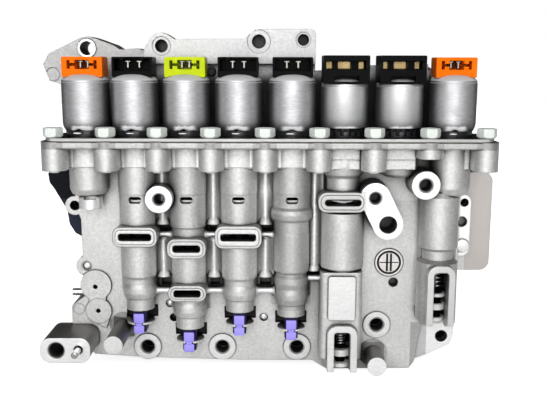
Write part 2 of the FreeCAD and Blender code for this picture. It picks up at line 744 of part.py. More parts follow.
def bores():
    """Solenoid pockets and valve bores, drilled from the top face and from below."""
    cuts = []
    for number, x in enumerate(STATIONS, start=1):
        depth = mm.pocket_depth + OVERCUT - mm.bracket_thickness
        cuts.append(cylinder(f"pocket_{number}", mm.pocket_radius, x, BORE_Y, POCKET_FLOOR, depth))
        cuts.append(cylinder(f"feed_{number}", 2.2, x, BORE_Y, POCKET_FLOOR - 6.0, 8.0))
    for number, window in WINDOWS.items():
        x = STATIONS[number - 1]
        foot = -window - mm.window_height - mm.lip_thickness
        floor = foot + mm.lip_thickness
        cuts.append(cylinder(f"bore_{number}", mm.bore_radius, x, BORE_Y, floor, POCKET_FLOOR - floor))
        open_front = (BORE_Y - mm.nozzle_radius - OVERCUT, BORE_Y - 0.6)
        through = (x - mm.window_half, x + mm.window_half), (open_front[0], BASE_FRONT + 4.0)
        cuts.append(box(f"window_{number}", *through, (-window - mm.window_height, -window)))
        cuts.append(box(f"lip_slot_{number}", (x - 1.9, x + 1.9), open_front, (foot - OVERCUT, foot + 3.0)))
    cuts.append(cylinder("bore_6", mm.bore_6_radius, STATIONS[5], BORE_Y, -144.0, POCKET_FLOOR + 144.0))
    cuts.append(cylinder("bore_8", mm.bore_radius, mm.valve_8, BORE_Y, -116.0, 76.0))
    cuts.append(cylinder("feed_9", 2.0, STATIONS[7], BORE_Y, -44.0, 24.0))
    cuts.append(cylinder("plug_bore_1", 5.0, STATIONS[0] + 1.0, BORE_Y - 2.0, -37.0, 10.0))
    for number, x in enumerate(BOLTS, start=1):
        seat = mm.bolt_radius + mm.seat_gap
        length = bolt_reach(number)
        cuts.append(cylinder(f"bolt_thread_{number}", seat, x, BOLT_Y, -length - 1.0, length))
    return cuts


def front_body():
    """The front casting, fused from its forms and then drilled."""
    rims, port_cuts = ports()
    flange, flange_cuts = link_flange()
    guides, guide_cuts = guide_windows()
    raised, holes = bosses()
    bars, pockets = ribs()
    casting = fuse("front_casting", [base_plate()] + gallery() + columns() + rims + flange + guides + raised + bars)
    return cut("front_body", casting, port_cuts + flange_cuts + guide_cuts + holes + pockets + bores())


# Rear casting. Each channel is a path of upright and level runs in its rear face.
CHANNELS = [
    [(-104, -14), (-104, -38), (-90, -38)],
    [(-90, -12), (-90, -24), (-78, -24), (-78, -62), (-90, -62), (-90, -88)],
    [(-66, -12), (-66, -74), (-78, -74), (-78, -100)],
    [(-54, -12), (-54, -50), (-42, -50), (-42, -90), (-66, -90), (-66, -118)],
    [(-42, -12), (-42, -36), (-30, -36), (-30, -74)],
    [(-30, -12), (-30, -22), (-18, -22), (-18, -62)],
    [(-18, -76), (-18, -112), (-30, -112), (-30, -88)],
    [(-54, -104), (-42, -104), (-42, -132), (-54, -132)],
    [(-104, -72), (-104, -104), (-90, -104)],
    [(16, -14), (16, -34), (30, -34), (30, -58)],
    [(42, -12), (42, -58)],
    [(0, -62), (0, -98), (14, -98), (14, -60)],
    [(30, -72), (30, -118), (43, -118), (43, -72)],
    [(58, -88), (58, -104), (72, -104)],
    [(70, -12), (70, -40), (84, -40), (84, -12)],
    [(86, -56), (86, -118), (99, -118), (99, -92)],
    [(98, -12), (98, -38)],
    [(4, -112), (18, -112)],
]
EAR_HOLE = (-111.2, 50.1, 4.1)
FLANGE_HOLES = [(-64.9, 51.4, 3.8, 5.6), (-6.8, 54.1, 4.1, 7.0), (19.7, 55.1, 3.4, 4.6)]
STOP = (-35.3, 36.2)
STOP_STEM = 1.5
WALL_FRONT = -27.0
BOLT_SEAT = -8.0
MANUAL_Y = -14.0
MANUAL_Z = -72.0
COVER_FRONT = -24.0
BOARD_HOLES = [(-96, -30), (-70, -60), (-60, -30), (-40, -60), (-24, -44), (6, -30), (24, -70), (36, -50)]
BOARD_HOLES += [(64, -40), (80, -30), (92, -76), (-84, -90), (-48, -110), (24, -118), (60, -96), (96, -104)]


def channel(name, points):
    """One oil channel, cut into the rear face along its path."""
    half = mm.channel_width / 2
    depth = (-mm.channel_depth, OVERCUT)
    cuts = []
    for number, (x, z) in enumerate(points):
        cuts.append(cylinder(f"{name}_turn_{number}", half, x, OVERCUT, z, mm.channel_depth + OVERCUT, "Y"))
    for number, (start, end) in enumerate(zip(points, points[1:])):
        (x_low, x_high), (z_low, z_high) = [sorted(pair) for pair in zip(start, end)]
        if x_low == x_high:
            cuts.append(box(f"{name}_run_{number}", (x_low - half, x_low + half), depth, (z_low, z_high)))
        else:
            cuts.append(box(f"{name}_run_{number}", (x_low, x_high), depth, (z_low - half, z_low + half)))
    return cuts


def shared_holes(name, back, front, clearance):
    """The holes that the plate and the rear casting share with the front casting."""
    run = as_size(back) - front
    rows = [(x, z, mm.case_hole + clearance) for x, z in CASE_HOLES]
    rows += [(x, z, mm.bolt_hole) for x, z in JOINT_BOLTS]
    rows += [(x, z, radius + clearance) for x, z, radius in (EAR_UPPER, EAR_LOWER, EAR_RIGHT)]
    rows.append((118.4, -41.8, 2.5 + clearance))
    return [cylinder(f"{name}_hole_{n}", radius, x, back, z, run, "Y") for n, (x, z, radius) in enumerate(rows)]


def rear_body():
    """The rear casting: a thick plate with oil channels, a top flange, an ear and an end block."""
    back = 0.0
    plate = slab("rear_plate", base_outline(), back, SEPARATOR_BACK)
    wall = slab(
        "upper_wall",
        [(-76, -3), (-76, 44), (27, 44), (27, 37), (44, 37.5), (50, 40), (95, 41), (95, -3)],
        -12.0,
        WALL_FRONT,
    )
    flange_outline = [
        (-76.5, 41.0),
        (-75.4, 48.9),
        (-71.6, 56.0),
        (-68.0, 58.6),
        (-64.2, 59.3),
        (-61.5, 58.3),
        (-57.0, 55.4),
        (-15.2, 55.7),
        (-12.4, 58.4),
        (-9.2, 60.8),
        (-6.1, 61.3),
        (24.1, 61.5),
        (26.1, 60.6),
        (27.0, 58.6),
        (27.0, 41.0),
    ]
    flange_front = BASE_BACK
    flange = slab("top_flange", flange_outline, flange_front + mm.top_flange, flange_front)
    ear_outline = [
        (-117.2, -3.0),
        (-117.2, 26.0),
        (-128.8, 28.9),
        (-134.8, 30.8),
        (-138.1, 40.4),
        (-134.5, 46.8),
        (-114.6, 56.4),
        (-110.4, 57.1),
        (-106.8, 56.2),
        (-95.3, 52.1),
        (-91.2, 49.4),
        (-80.8, 50.1),
        (-76.9, 49.0),
        (-74.0, 45.0),
        (-74.0, -3.0),
    ]
    ear = slab("left_ear", ear_outline, -1.0, -mm.ear_front)
    solids = [
        plate,
        wall,
        flange,
        ear,
        box("head_land", (-mm.base_left - 3.0, mm.base_right), (-27.0, back), (-3.0, 8.0)),
        rounded_block("end_block", (100.0, 138.1), (-mm.block_front, back), (-87.2, -24.7), 6.0),
        rounded_block("strip_land", STRIP_LIMITS[0], (SEPARATOR_BACK, -10.0), STRIP_LIMITS[1], 4.8),
        cylinder("ear_collar", EAR_HOLE[2] + 1.5, EAR_HOLE[0], -mm.ear_front, EAR_HOLE[1], 0.8, "Y"),
        cylinder("rear_ear_upper", mm.ear_radius, EAR_UPPER[0], COVER_FRONT, EAR_UPPER[1], 4.5, "Y"),
        cylinder("rear_ear_lower", mm.ear_radius + 0.6, EAR_LOWER[0], -8.0, EAR_LOWER[1], 20.5, "Y"),
    ]
    holes = shared_holes("rear", OVERCUT, SEPARATOR_BACK - OVERCUT, 0.0)
    for number, points in enumerate(CHANNELS, start=1):
        holes += channel(f"channel_{number}", points)
    for number, (x, z) in enumerate(JOINT_BOLTS, start=1):
        holes.append(cylinder(f"head_recess_{number}", 6.6, x, OVERCUT, z, OVERCUT - BOLT_SEAT, "Y"))
    holes.append(cylinder("ear_hole", EAR_HOLE[2], EAR_HOLE[0], OVERCUT, EAR_HOLE[1], 30.0, "Y"))
    holes.append(cylinder("ear_mark", 4.2, -132.5, -mm.ear_front + 0.4, 34.5, 2.0, "Y"))
    for number, (x, z, radius, face) in enumerate(FLANGE_HOLES, start=1):
        holes.append(cylinder(f"flange_hole_{number}", radius, x, -18.5, z, 20.0, "Y"))
        holes.append(cylinder(f"flange_seat_{number}", face, x, flange_front + 0.3, z, 2.0, "Y"))
    holes.append(cylinder("stop_seat", STOP_STEM, STOP[0], WALL_FRONT + 5.0, STOP[1], 8.0, "Y"))
    holes.append(cylinder("manual_bore", mm.manual_radius, 53.0, MANUAL_Y, MANUAL_Z, 88.0, "X"))
    holes.append(box("manual_slot", (124.0, 141.0), (-16.0, OVERCUT), (MANUAL_Z - 7.5, MANUAL_Z + 7.5)))
    return cut("rear_body", fuse("rear_casting", solids), holes)


def rubber_stop():
    """The small rubber buffer in the upper wall, between the third and the fourth solenoid."""
    stem = cylinder("stop_stem", STOP_STEM, STOP[0], WALL_FRONT + 5.0, STOP[1], 6.0, "Y")
    head = cylinder("stop_head", 2.6, STOP[0], WALL_FRONT, STOP[1], 3.4, "Y")
    tip = cone("stop_tip", 2.6, 1.8, STOP[0], WALL_FRONT - 3.4, STOP[1], 0.8, "Y")
    return fuse("rubber_stop", [stem, head, tip])


def separator_plate():
    """The thin steel plate with metering holes between the castings."""
    levels = (BASE_BACK, SEPARATOR_BACK)
    solids = [
        slab("board", base_outline(), SEPARATOR_BACK, BASE_BACK),
        rounded_block("board_strip", STRIP_LIMITS[0], levels, STRIP_LIMITS[1], 4.8),
        cylinder("board_ear_upper", mm.ear_radius, EAR_UPPER[0], SEPARATOR_BACK, EAR_UPPER[1], 1.5, "Y"),
        cylinder("board_ear_lower", mm.ear_radius + 0.6, EAR_LOWER[0], SEPARATOR_BACK, EAR_LOWER[1], 1.5, "Y"),
    ]
    holes = shared_holes("board", SEPARATOR_BACK + OVERCUT, BASE_BACK - OVERCUT, 0.0)
    for number, (x, z) in enumerate(BOARD_HOLES, start=1):
        radius = 1.1 + 0.3 * (number % 3)
        holes.append(cylinder(f"metering_{number}", radius, x, SEPARATOR_BACK + OVERCUT, z, 4.0, "Y"))
    return cut("separator_plate", fuse("board_blank", solids), holes)


def solenoid_bracket():
    """The flat steel plate that clamps the solenoids down, with a hole for each neck and each bolt."""
    ends = (BOLTS[0] - 3.5, BOLTS[8] + 3.5)
    blank = rounded_block("bracket_blank", ends, (FLANGE_FRONT + 0.4, -33.0), (BRACKET_UNDER, 0.0), 4.0, "Z")
    plate = round_edges(blank, 0.5, "X", lambda point: point.z < -1.0 and point.y < -50.0)
    holes = []
    for number, x in enumerate(STATIONS, start=1):
        holes.append(cylinder(f"neck_hole_{number}", mm.neck_radius + 0.2, x, BORE_Y, BRACKET_UNDER - OVERCUT, 5.0))
    for number, x in enumerate(BOLTS, start=1):
        holes.append(cylinder(f"bolt_hole_{number}", mm.bolt_hole, x, BOLT_Y, BRACKET_UNDER - OVERCUT, 5.0))
    return cut("solenoid_bracket", plate, holes)


def hexagon(name, x, y, z, axis="Z"):
    """A hexagon bolt head from a point along an axis, as for a cylinder."""
    head = doc.addObject("Part::Prism", name)
    head.Polygon = 6
    bind(head, Circumradius=mm.bolt_flats * 0.57735, Height=mm.bolt_head)
    return place(head, x, y, z, TURNS[axis])


def bracket_bolts():
    """Nine bolts that stand on the bracket, with chamfered heads and a washer face."""
    bolts = []
    for number, x in enumerate(BOLTS, start=1):
        crown = cone(f"crown_{number}", mm.bolt_flats * 0.66, mm.bolt_flats * 0.47, x, BOLT_Y, 0.0, mm.bolt_head)
        head = doc.addObject("Part::MultiCommon", f"head_{number}")
        head.Shapes = [hexagon(f"hexagon_{number}", x, BOLT_Y, 0.0), crown]
        length = bolt_reach(number)
        shank = cylinder(f"shank_{number}", mm.bolt_radius, x, BOLT_Y, -length, length + 1.0)
        bolts.append(fuse(f"bolt_{number}", [head, shank]))
    return group("bracket_bolts", bolts)


def body_bolts():
    """Six bolts that join the castings, with their heads in recesses of the rear face."""
    bolts = []
    for number, (x, z) in enumerate(JOINT_BOLTS, start=1):
        head = hexagon(f"joint_head_{number}", x, mm.bolt_head + BOLT_SEAT, z, "Y")
        length = mm.joint_bolt_length + 1.0
        shank = cylinder(f"joint_shank_{number}", mm.bolt_radius, x, BOLT_SEAT + 1.0, z, length, "Y")
        bolts.append(fuse(f"joint_bolt_{number}", [head, shank]))
    return group("body_bolts", bolts)


def slotted_plug():
    """The round plug, almost flush with the floor: a ring groove, a fine cross groove and two driving slots."""
    x, z = PLUG
    level = BASE_FRONT - 0.3
    disc = cylinder("plug_disc", mm.slotted_plug_radius, x, BASE_BACK - 2.0, z, 8.3, "Y")
    groove = cut(
        "plug_groove",
        cylinder("groove_outer", 7.2, x, level + 1.2, z, 2.4, "Y"),
        [cylinder("groove_inner", 6.3, x, level + 2.2, z, 4.4, "Y")],
    )
    cuts = [groove, box("cross_groove", (x - 5.9, x + 5.9), (level - OVERCUT, level + 0.4), (z - 0.3, z + 0.3))]
    for number, left in enumerate((x - 1.8, x + 0.6), start=1):
        deep = (level - OVERCUT, level + 2.4)
        cuts.append(box(f"drive_slot_{number}", (left, left + 1.2), deep, (z - 5.6, z + 5.6)))
    return cut("slotted_plug", disc, cuts)


def pins():
    """The dowel, the locating pin and the slit spring pin."""
    dowel = cylinder("dowel_pin", mm.dowel_radius, DOWEL[0], -42.0, DOWEL[1], 34.0, "Y")
    locating = cylinder("locating_pin", mm.locating_radius, LOCATING[0], BASE_BACK - 1.0, LOCATING[1], 6.8, "Y")
    x, z = SPRING_PIN
    y = BASE_BACK - 5.0
    tube = cylinder("pin_tube", mm.spring_pin_radius, x, y, z, 12.0, "X")
    hollow = cylinder("pin_hollow", mm.spring_pin_radius - 0.9, x - 1.0, y, z, 14.0, "X")
    slit = box("pin_slit", (x - 1.0, x + 13.0), (y - 0.4, y + 0.4), (z, z + 4.0))
    return dowel, locating, cut("spring_pin", tube, [hollow, slit])


def bore_1_plug():
    """The notched plug under column 1."""
    x, y = STATIONS[0] + 1.0, BORE_Y - 2.0
    profile = [(0, -29.0), (4.95, -29.0), (4.95, -35.7), (6.0, -35.7), (6.9, -36.6), (6.9, -43.3), (0, -43.3)]
    blank = turned("bore_plug_blank", profile, x, y)
    notch = box("bore_plug_notch", (x - 2.6, x + 4.4), (y - 9.0, y - 3.0), (-37.5, -35.0))
    return cut("bore_1_plug", blank, [notch])


def side_cover():
    """The moulded cover on the left flank of the rear casting."""
    outline = [
        (-117.5, -24.0),
        (-136.0, -24.0),
        (-137.8, -26.2),
        (-137.1, -31.9),
        (-134.4, -35.7),
        (-126.9, -49.2),
        (-125.8, -58.0),
        (-122.3, -63.9),
        (-118.5, -66.0),
        (-114.5, -66.0),
        (-114.5, -52.0),
        (-117.5, -44.0),
    ]
    return slab("side_cover", outline, -6.0, COVER_FRONT)


def manual_valve():
    """The sliding manual valve: three lands, a stem and a hook groove at its right end."""
    land = mm.manual_radius - mm.running_gap
    rods = [cylinder("manual_stem", 4.4, 66.0, MANUAL_Y, MANUAL_Z, 70.0, "X")]
    for number, (x, length) in enumerate(((66.0, 11.0), (88.0, 10.0), (108.0, 12.0)), start=1):
        rods.append(cylinder(f"manual_land_{number}", land, x, MANUAL_Y, MANUAL_Z, length, "X"))
    for number, x in enumerate((126.5, 134.2), start=1):
        rods.append(cylinder(f"hook_collar_{number}", 6.4, x, MANUAL_Y, MANUAL_Z, 2.5, "X"))
    return fuse("manual_valve", rods)


# Solenoids. The sixth and seventh are switching ones: a shorter can with a taller connector.
KEYED = (1, 3, 8)
DRIVERS = (2, 3, 4, 5, 6)
SPOOL_TOP = -30.0


def crown(top):
    """The domed top of a can, from its centre out to the shoulder."""
    outer = mm.can_radius
    return [
        (0, top),
        (outer - 7.7, top - 0.3),
        (outer - 2.7, top - 1.2),
        (outer - 1.0, top - 2.1),
        (outer - 0.2, top - 3.0),
        (outer, top - 3.8),
    ]


def can(number, x, top):
    """The drawn steel can, open below, with a domed top and a rolled lower edge."""
    outer = mm.can_radius
    inner = outer - 1.4
    profile = crown(top) + [
        (outer, mm.can_bottom + 3.6),
        (outer - 1.1, mm.can_bottom + 0.9),
        (outer - 3.3, mm.can_bottom),
        (outer - 4.7, mm.can_bottom),
        (outer - 4.7, mm.can_bottom + 1.2),
        (inner, mm.can_bottom + 3.8),
        (inner, top - 4.2),
        (inner - 2.2, top - 2.6),
        (0, top - 1.8),
    ]
    return turned(f"solenoid_{number}_can", profile, x, BORE_Y)


def coil(number, x, top):
    """The wound coil inside a can, on the pole of the nose."""
    level = mm.can_bottom + 5.0
    height = top - 5.0 - level
    winding = cylinder(f"winding_{number}", mm.can_radius - 2.2, x, BORE_Y, level, height)
    hollow = cylinder(f"winding_hollow_{number}", 5.5, x, BORE_Y, level - OVERCUT, height + 2 * OVERCUT)
    return cut(f"coil_{number}", winding, [hollow])


def nose(number, x, top):
    """Flange, pole, neck with two ring grooves, and the tip that pushes the spool."""
    neck = mm.neck_radius
    groove = neck - 1.5
    tip = SPOOL_TOP if number in DRIVERS else -25.0
    profile = [
        (0, top - 5.0),
        (5.5, top - 5.0),
        (5.5, mm.can_bottom),
        (12.0, mm.can_bottom),
        (12.0, 0.0),
        (neck, 0.0),
        (neck, -5.6),
        (groove, -5.6),
        (groove, -7.4),
        (neck, -7.4),
        (neck, -13.6),
        (groove, -13.6),
        (groove, -15.4),
        (neck, -15.4),
        (neck, -20.0),
        (neck - 0.8, -21.0),
        (mm.pin_radius, -21.0),
        (mm.pin_radius, tip),
        (0, tip),
    ]
    return turned(f"solenoid_{number}_nose", profile, x, BORE_Y)


def seal(number, x):
    """The two O-rings of a nose."""
    rings = []
    for level in (-6.5, -14.5):
        ring = doc.addObject("Part::Torus", f"ring_{number}_{-level}")
        bind(ring, Radius1=mm.neck_radius - 0.7, Radius2=mm.ring_wire * 0.8)
        rings.append(place(ring, x, BORE_Y, level))
    return rings


def keyed_socket(number, x, middle, reach):
    """The mouth of a keyed socket: a middle opening joined by narrow bars to a slot on each side."""
    half = mm.socket_width / 2
    rise = mm.socket_height / 2
    parts = [
        rounded_block(f"socket_{number}", (x - half, x + half), reach, (middle - rise, middle + rise), 0.4),
        box(f"bar_{number}", (x - half - 3.0, x + half + 3.0), reach, (middle - 0.8, middle + 0.8)),
    ]
    for side in (-1, 1):
        centre = x + side * 7.7
        span = (centre - 0.9, centre + 0.9)
        parts.append(box(f"key_slot_{number}_{side}", span, reach, (middle - 2.4, middle + 2.4)))
    return fuse(f"keyed_socket_{number}", parts)


def wide_socket(number, x, middle, reach):
    """The mouth of a plain socket, with two polarising ribs under its upper wall."""
    half = mm.wide_socket_width / 2
    rise = mm.wide_socket_height / 2
    mouth = rounded_block(f"socket_{number}", (x - half, x + half), reach, (middle - rise, middle + rise), 0.5)
    ribs = []
    for side in (-1, 1):
        centre = x + side * 5.9
        ribs.append(box(f"rib_{number}_{side}", (centre - 0.9, centre + 0.9), reach, (middle + rise - 0.9, middle + rise + 1.0)))
    return cut(f"wide_socket_{number}", mouth, ribs)


def switch_socket(number, x, middle, front):
    """The mouth of a switching solenoid's socket, which two posts part into three windows further in."""
    half = mm.switch_socket_width / 2
    rise = mm.socket_height / 2 - 0.2
    reach = (front - OVERCUT, front + mm.socket_depth)
    mouth = rounded_block(f"socket_{number}", (x - half, x + half), reach, (middle - rise, middle + rise), 0.5)
    posts = []
    for left, right in ((-7.6, -4.7), (3.0, 7.1)):
        span = (front + 6.2, front + mm.socket_depth + OVERCUT)
        posts.append(box(f"post_{number}_{left}", (x + left, x + right), span, (middle - 5.0, middle + 5.0)))
    return cut(f"sockets_{number}", mouth, posts)


def terminals(number, x, middle, back):
    """Contacts on a socket's rear wall: T-shaped blades, or three flat plates in a switching solenoid."""
    if number in SWITCHES:
        rows = ((-11.4, -7.8), (-4.5, 2.8), (7.3, 10.4))
        return [
            box(f"plate_{number}_{left}", (x + left, x + right), (back - 2.0, back), (middle - 2.0, middle + 2.0))
            for left, right in rows
        ]
    spread = 2.1 if number in KEYED else 3.3
    half = mm.terminal_width / 2
    blades = []
    for side in (-1, 1):
        centre = x + side * spread
        stem = box(f"stem_{number}_{side}", (centre - 0.4, centre + 0.4), (back - 6.0, back), (middle - 1.8, middle + 2.1))
        bar = box(f"blade_{number}_{side}", (centre - half, centre + half), (back - 6.0, back), (middle + 1.5, middle + 2.1))
        blades.append(fuse(f"terminal_{number}_{side}", [stem, bar]))
    return blades


def connector(number, x, top):
    """The moulded connector: a block that sits on the domed can, with a socket open to the front."""
    tall = number in SWITCHES
    half = (mm.switch_plug_width if tall else mm.plug_width) / 2
    front = -mm.switch_plug_front if tall else -mm.plug_front
    depth = mm.switch_plug_depth if tall else mm.plug_depth
    low = top - (3.4 if tall else 1.9)
    high = mm.can_top + mm.plug_height + (mm.switch_plug_extra if tall else 0.0)
    block = rounded_block(f"plug_{number}", (x - half, x + half), (front, front + depth), (low, high), 0.8)
    dome = crown(top) + [(mm.can_radius, top - 8.0), (0, top - 8.0)]
    cuts = [turned(f"plug_seat_{number}", dome, x, BORE_Y)]
    middle = high - mm.plug_height / 2 - (0.7 if tall else -0.4)
    reach = (front - OVERCUT, front + mm.socket_depth)
    if tall:
        cuts.append(switch_socket(number, x, middle, front))
        recess = (x - 7.0, x + 7.0), (front - OVERCUT, front + 5.0), (low + 1.4, low + 4.4)
        cuts.append(rounded_block(f"recess_{number}", *recess, 0.5))
    elif number in KEYED:
        cuts.append(keyed_socket(number, x, middle, reach))
    else:
        cuts.append(wide_socket(number, x, middle, reach))
    block = cut(f"solenoid_{number}_connector", block, cuts)
    return block, terminals(number, x, middle, front + mm.socket_depth)


# Valves: centre, bore, top and bottom of the spool, and the level that carries the spring
def valve_rows():
    """One row for each sprung spool."""
    rows = {}
    for number, window in WINDOWS.items():
        seat = -window + 7.0
        rows[number] = (STATIONS[number - 1], mm.bore_radius, as_size(SPOOL_TOP), seat + 15.0, seat)
    rows[6] = (STATIONS[5], mm.bore_6_radius, as_size(SPOOL_TOP), as_size(-119.0), as_size(-128.0))
    rows[8] = (mm.valve_8, mm.bore_radius, as_size(-43.0), as_size(-79.5), as_size(-92.0))
    return rows


def spool(number, x, bore, top, bottom):
    """A spool: three lands on a stem, with a short spigot that centres the spring."""
    land = bore - mm.running_gap
    stem = mm.stem_radius
    middle = (top + bottom) / 2
    half = mm.land_height / 2
    chamfer = 0.4
    profile = [(0, top), (land - chamfer, top), (land, top - chamfer), (land, top - mm.land_height)]
    profile += [(stem, top - mm.land_height - 0.6), (stem, middle + half + 0.6), (land, middle + half)]
    profile += [(land, middle - half), (stem, middle - half - 0.6), (stem, bottom + mm.land_height + 0.6)]
    profile += [(land, bottom + mm.land_height), (land, bottom + chamfer), (land - chamfer, bottom), (0, bottom)]
    return turned(f"spool_{number}", profile, x, BORE_Y)


def bore_plug(number, x, window):
    """The end plug that carries the spring and rests on the retainer key."""
    seat = -window
    profile = [
        (0, seat + 7.0),
        (mm.bore_radius - mm.seat_gap, seat + 7.0),
        (mm.bore_radius - mm.seat_gap, seat + 1.0),
        (mm.end_plug_radius, seat + 0.6),
        (mm.end_plug_radius, seat - 1.0),
        (mm.end_plug_radius - 0.5, seat - 1.5),
        (0, seat - 1.5),
    ]
    return turned(f"bore_plug_{number}", profile, x, BORE_Y)


def retainer_key(number, x, window):
    """The moulded key through a window: head and foot with set-back sides, and a neck in the lip slot."""
    seat = -window
    floor = seat - mm.window_height
    foot = floor - mm.lip_thickness
    front = (-55.0, -42.0)
    sides = (-51.5, -42.0)
    head_rise = (floor, seat - 1.5)
    foot_rise = (seat - 13.9, foot)
    parts = [
        box(f"key_head_{number}", (x - 3.05, x + 3.05), front, head_rise),
        box(f"key_head_sides_{number}", (x - 4.0, x + 4.0), sides, head_rise),
        box(f"key_neck_{number}", (x - 1.75, x + 1.75), (-55.0, -46.8), (foot - 0.9, floor + 1.0)),
        box(f"key_foot_{number}", (x - 3.05, x + 3.05), front, foot_rise),
        box(f"key_foot_sides_{number}", (x - 4.0, x + 4.0), sides, foot_rise),
    ]
    return fuse(f"retainer_key_{number}", parts)


def lower_seat(number, x, bore, profile):
    """The stepped seat that closes a window bore and carries its spring."""
    fit = bore - mm.seat_gap
    points = [(fit if radius is None else radius, level) for radius, level in profile]
    return turned(f"lower_seat_{number}", [(0, points[0][1])] + points + [(0, points[-1][1])], x, BORE_Y)


SEAT_6 = [(None, -128.0), (None, -131.3), (3.0, -131.6), (3.0, -136.0), (4.7, -136.2), (4.7, -138.5), (4.0, -139.0)]
SEAT_6 += [(4.0, -142.0)]
SEAT_8 = [(None, -92.0), (None, -94.0), (3.0, -94.4), (3.0, -98.6), (None, -98.8), (None, -101.7), (3.0, -102.0)]
SEAT_8 += [(3.0, -106.7), (5.0, -106.9), (5.0, -109.8), (3.4, -110.2), (3.4, -112.4)]


def check_balls():
    """The steel balls: two in pockets of the floor and one pressed into the lower ear."""
    balls = []
    for number, (x, z) in enumerate(BALLS + [EAR_LOWER[:2]], start=1):
        ball = doc.addObject("Part::Sphere", f"ball_{number}")
        bind(ball, Radius=mm.ball_radius)
        balls.append(place(ball, x, BASE_FRONT + BALL_DEPTH, z))
    return group("check_balls", balls)


def build_nodes():
    """Every node of the assembly by name."""
    dowel, locating, spring_pin = pins()
    nodes = {
        "front_body": front_body(),
        "rear_body": rear_body(),
        "separator_plate": separator_plate(),
        "solenoid_bracket": solenoid_bracket(),
        "bracket_bolts": bracket_bolts(),
        "body_bolts": body_bolts(),
        "slotted_plug": slotted_plug(),
        "dowel_pin": dowel,
        "locating_pin": locating,
        "spring_pin": spring_pin,
        "bore_1_plug": bore_1_plug(),
        "side_cover": side_cover(),
        "rubber_stop": rubber_stop(),
        "manual_valve": manual_valve(),
        "check_balls": check_balls(),
    }
    coils = []
    blades = []
    rings = []
    for number, x in enumerate(STATIONS, start=1):
        top = mm.switch_can_top if number in SWITCHES else mm.can_top
        nodes[f"solenoid_{number}_can"] = can(number, x, top)
        nodes[f"solenoid_{number}_nose"] = nose(number, x, top)
        block, pair = connector(number, x, top)
        nodes[f"solenoid_{number}_connector"] = block
        coils.append(coil(number, x, top))
        blades += pair
        rings += seal(number, x)
    nodes["solenoid_coils"] = group("solenoid_coils", coils)
    nodes["solenoid_terminals"] = group("solenoid_terminals", blades)
    nodes["solenoid_o_rings"] = group("solenoid_o_rings", rings)
    for number, (x, bore, top, bottom, seat) in valve_rows().items():
        nodes[f"spool_{number}"] = spool(number, x, bore, top, bottom)
        nodes[f"spring_{number}"] = helix_spring(f"spring_{number}", x, seat, bottom, mm.spring_turns.value)
    windows = [(number, STATIONS[number - 1], window) for number, window in WINDOWS.items()]
    nodes["bore_plugs"] = group("bore_plugs", [bore_plug(*row) for row in windows])
    nodes["retainer_keys"] = group("retainer_keys", [retainer_key(*row) for row in windows])
    nodes["lower_seat_6"] = lower_seat(6, STATIONS[5], mm.bore_6_radius, SEAT_6)
    nodes["lower_seat_8"] = lower_seat(8, mm.valve_8, mm.bore_radius, SEAT_8)
    return nodes


nodes = build_nodes()
for name, node in nodes.items():
    node.Label = name
doc.recompute()

for thing in doc.Objects:
    if "Invalid" in thing.State or "Error" in thing.State:
        raise RuntimeError(f"{thing.Name} failed: {thing.State}")
for name, node in nodes.items():
    if node.Shape.isNull() or not node.Shape.isValid():
        raise RuntimeError(f"{name} has no valid shape")

os.makedirs("parts", exist_ok=True)
for name, node in nodes.items():
    node.Shape.exportStep(f"parts/{name}.step")
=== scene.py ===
import bmesh
import bpy
import numpy as np
from mathutils import Matrix, Vector


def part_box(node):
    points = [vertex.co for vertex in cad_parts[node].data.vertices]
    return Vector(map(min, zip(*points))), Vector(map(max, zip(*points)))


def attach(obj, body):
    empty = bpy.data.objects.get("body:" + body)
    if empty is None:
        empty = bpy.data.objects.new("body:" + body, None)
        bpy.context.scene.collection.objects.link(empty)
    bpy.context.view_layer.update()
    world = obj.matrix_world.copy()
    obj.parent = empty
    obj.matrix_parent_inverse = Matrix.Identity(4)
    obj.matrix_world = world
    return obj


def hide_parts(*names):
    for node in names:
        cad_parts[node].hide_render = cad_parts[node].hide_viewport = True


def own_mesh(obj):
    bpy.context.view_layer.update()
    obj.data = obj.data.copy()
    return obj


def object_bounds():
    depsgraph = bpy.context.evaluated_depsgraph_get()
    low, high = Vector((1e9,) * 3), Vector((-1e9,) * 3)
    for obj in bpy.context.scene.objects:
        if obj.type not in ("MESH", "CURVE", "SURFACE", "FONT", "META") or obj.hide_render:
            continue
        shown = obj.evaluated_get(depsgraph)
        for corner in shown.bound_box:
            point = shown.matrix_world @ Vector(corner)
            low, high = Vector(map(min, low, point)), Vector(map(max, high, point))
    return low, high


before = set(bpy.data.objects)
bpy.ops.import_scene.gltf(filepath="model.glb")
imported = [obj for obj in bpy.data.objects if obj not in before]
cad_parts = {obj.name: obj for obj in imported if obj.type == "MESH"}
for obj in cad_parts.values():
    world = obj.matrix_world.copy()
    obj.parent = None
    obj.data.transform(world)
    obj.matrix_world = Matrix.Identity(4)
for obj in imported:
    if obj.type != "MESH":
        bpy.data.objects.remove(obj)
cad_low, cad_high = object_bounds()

# The camera stands a little above the solenoids and looks down at the front castings by ten degrees.
# The soft boxes stand on the camera's side. The studio is dark above, behind and at the sides, so round
# metal gets grey edges and upper faces turn dark; everything the camera sees past the part is white.
CAMERA_AT = (0.00341, -0.51547, 0.04333)
CAMERA_RIGHT = (0.99999, 0.00307, 0.00210)
CAMERA_DOWN = (0.00262, -0.17834, -0.98396)
CAMERA_AHEAD = (-0.00265, 0.98396, -0.17835)
PHOTO_WIDTH = 547.0
FOCAL_PIXELS = 800.0
SENSOR = 0.036

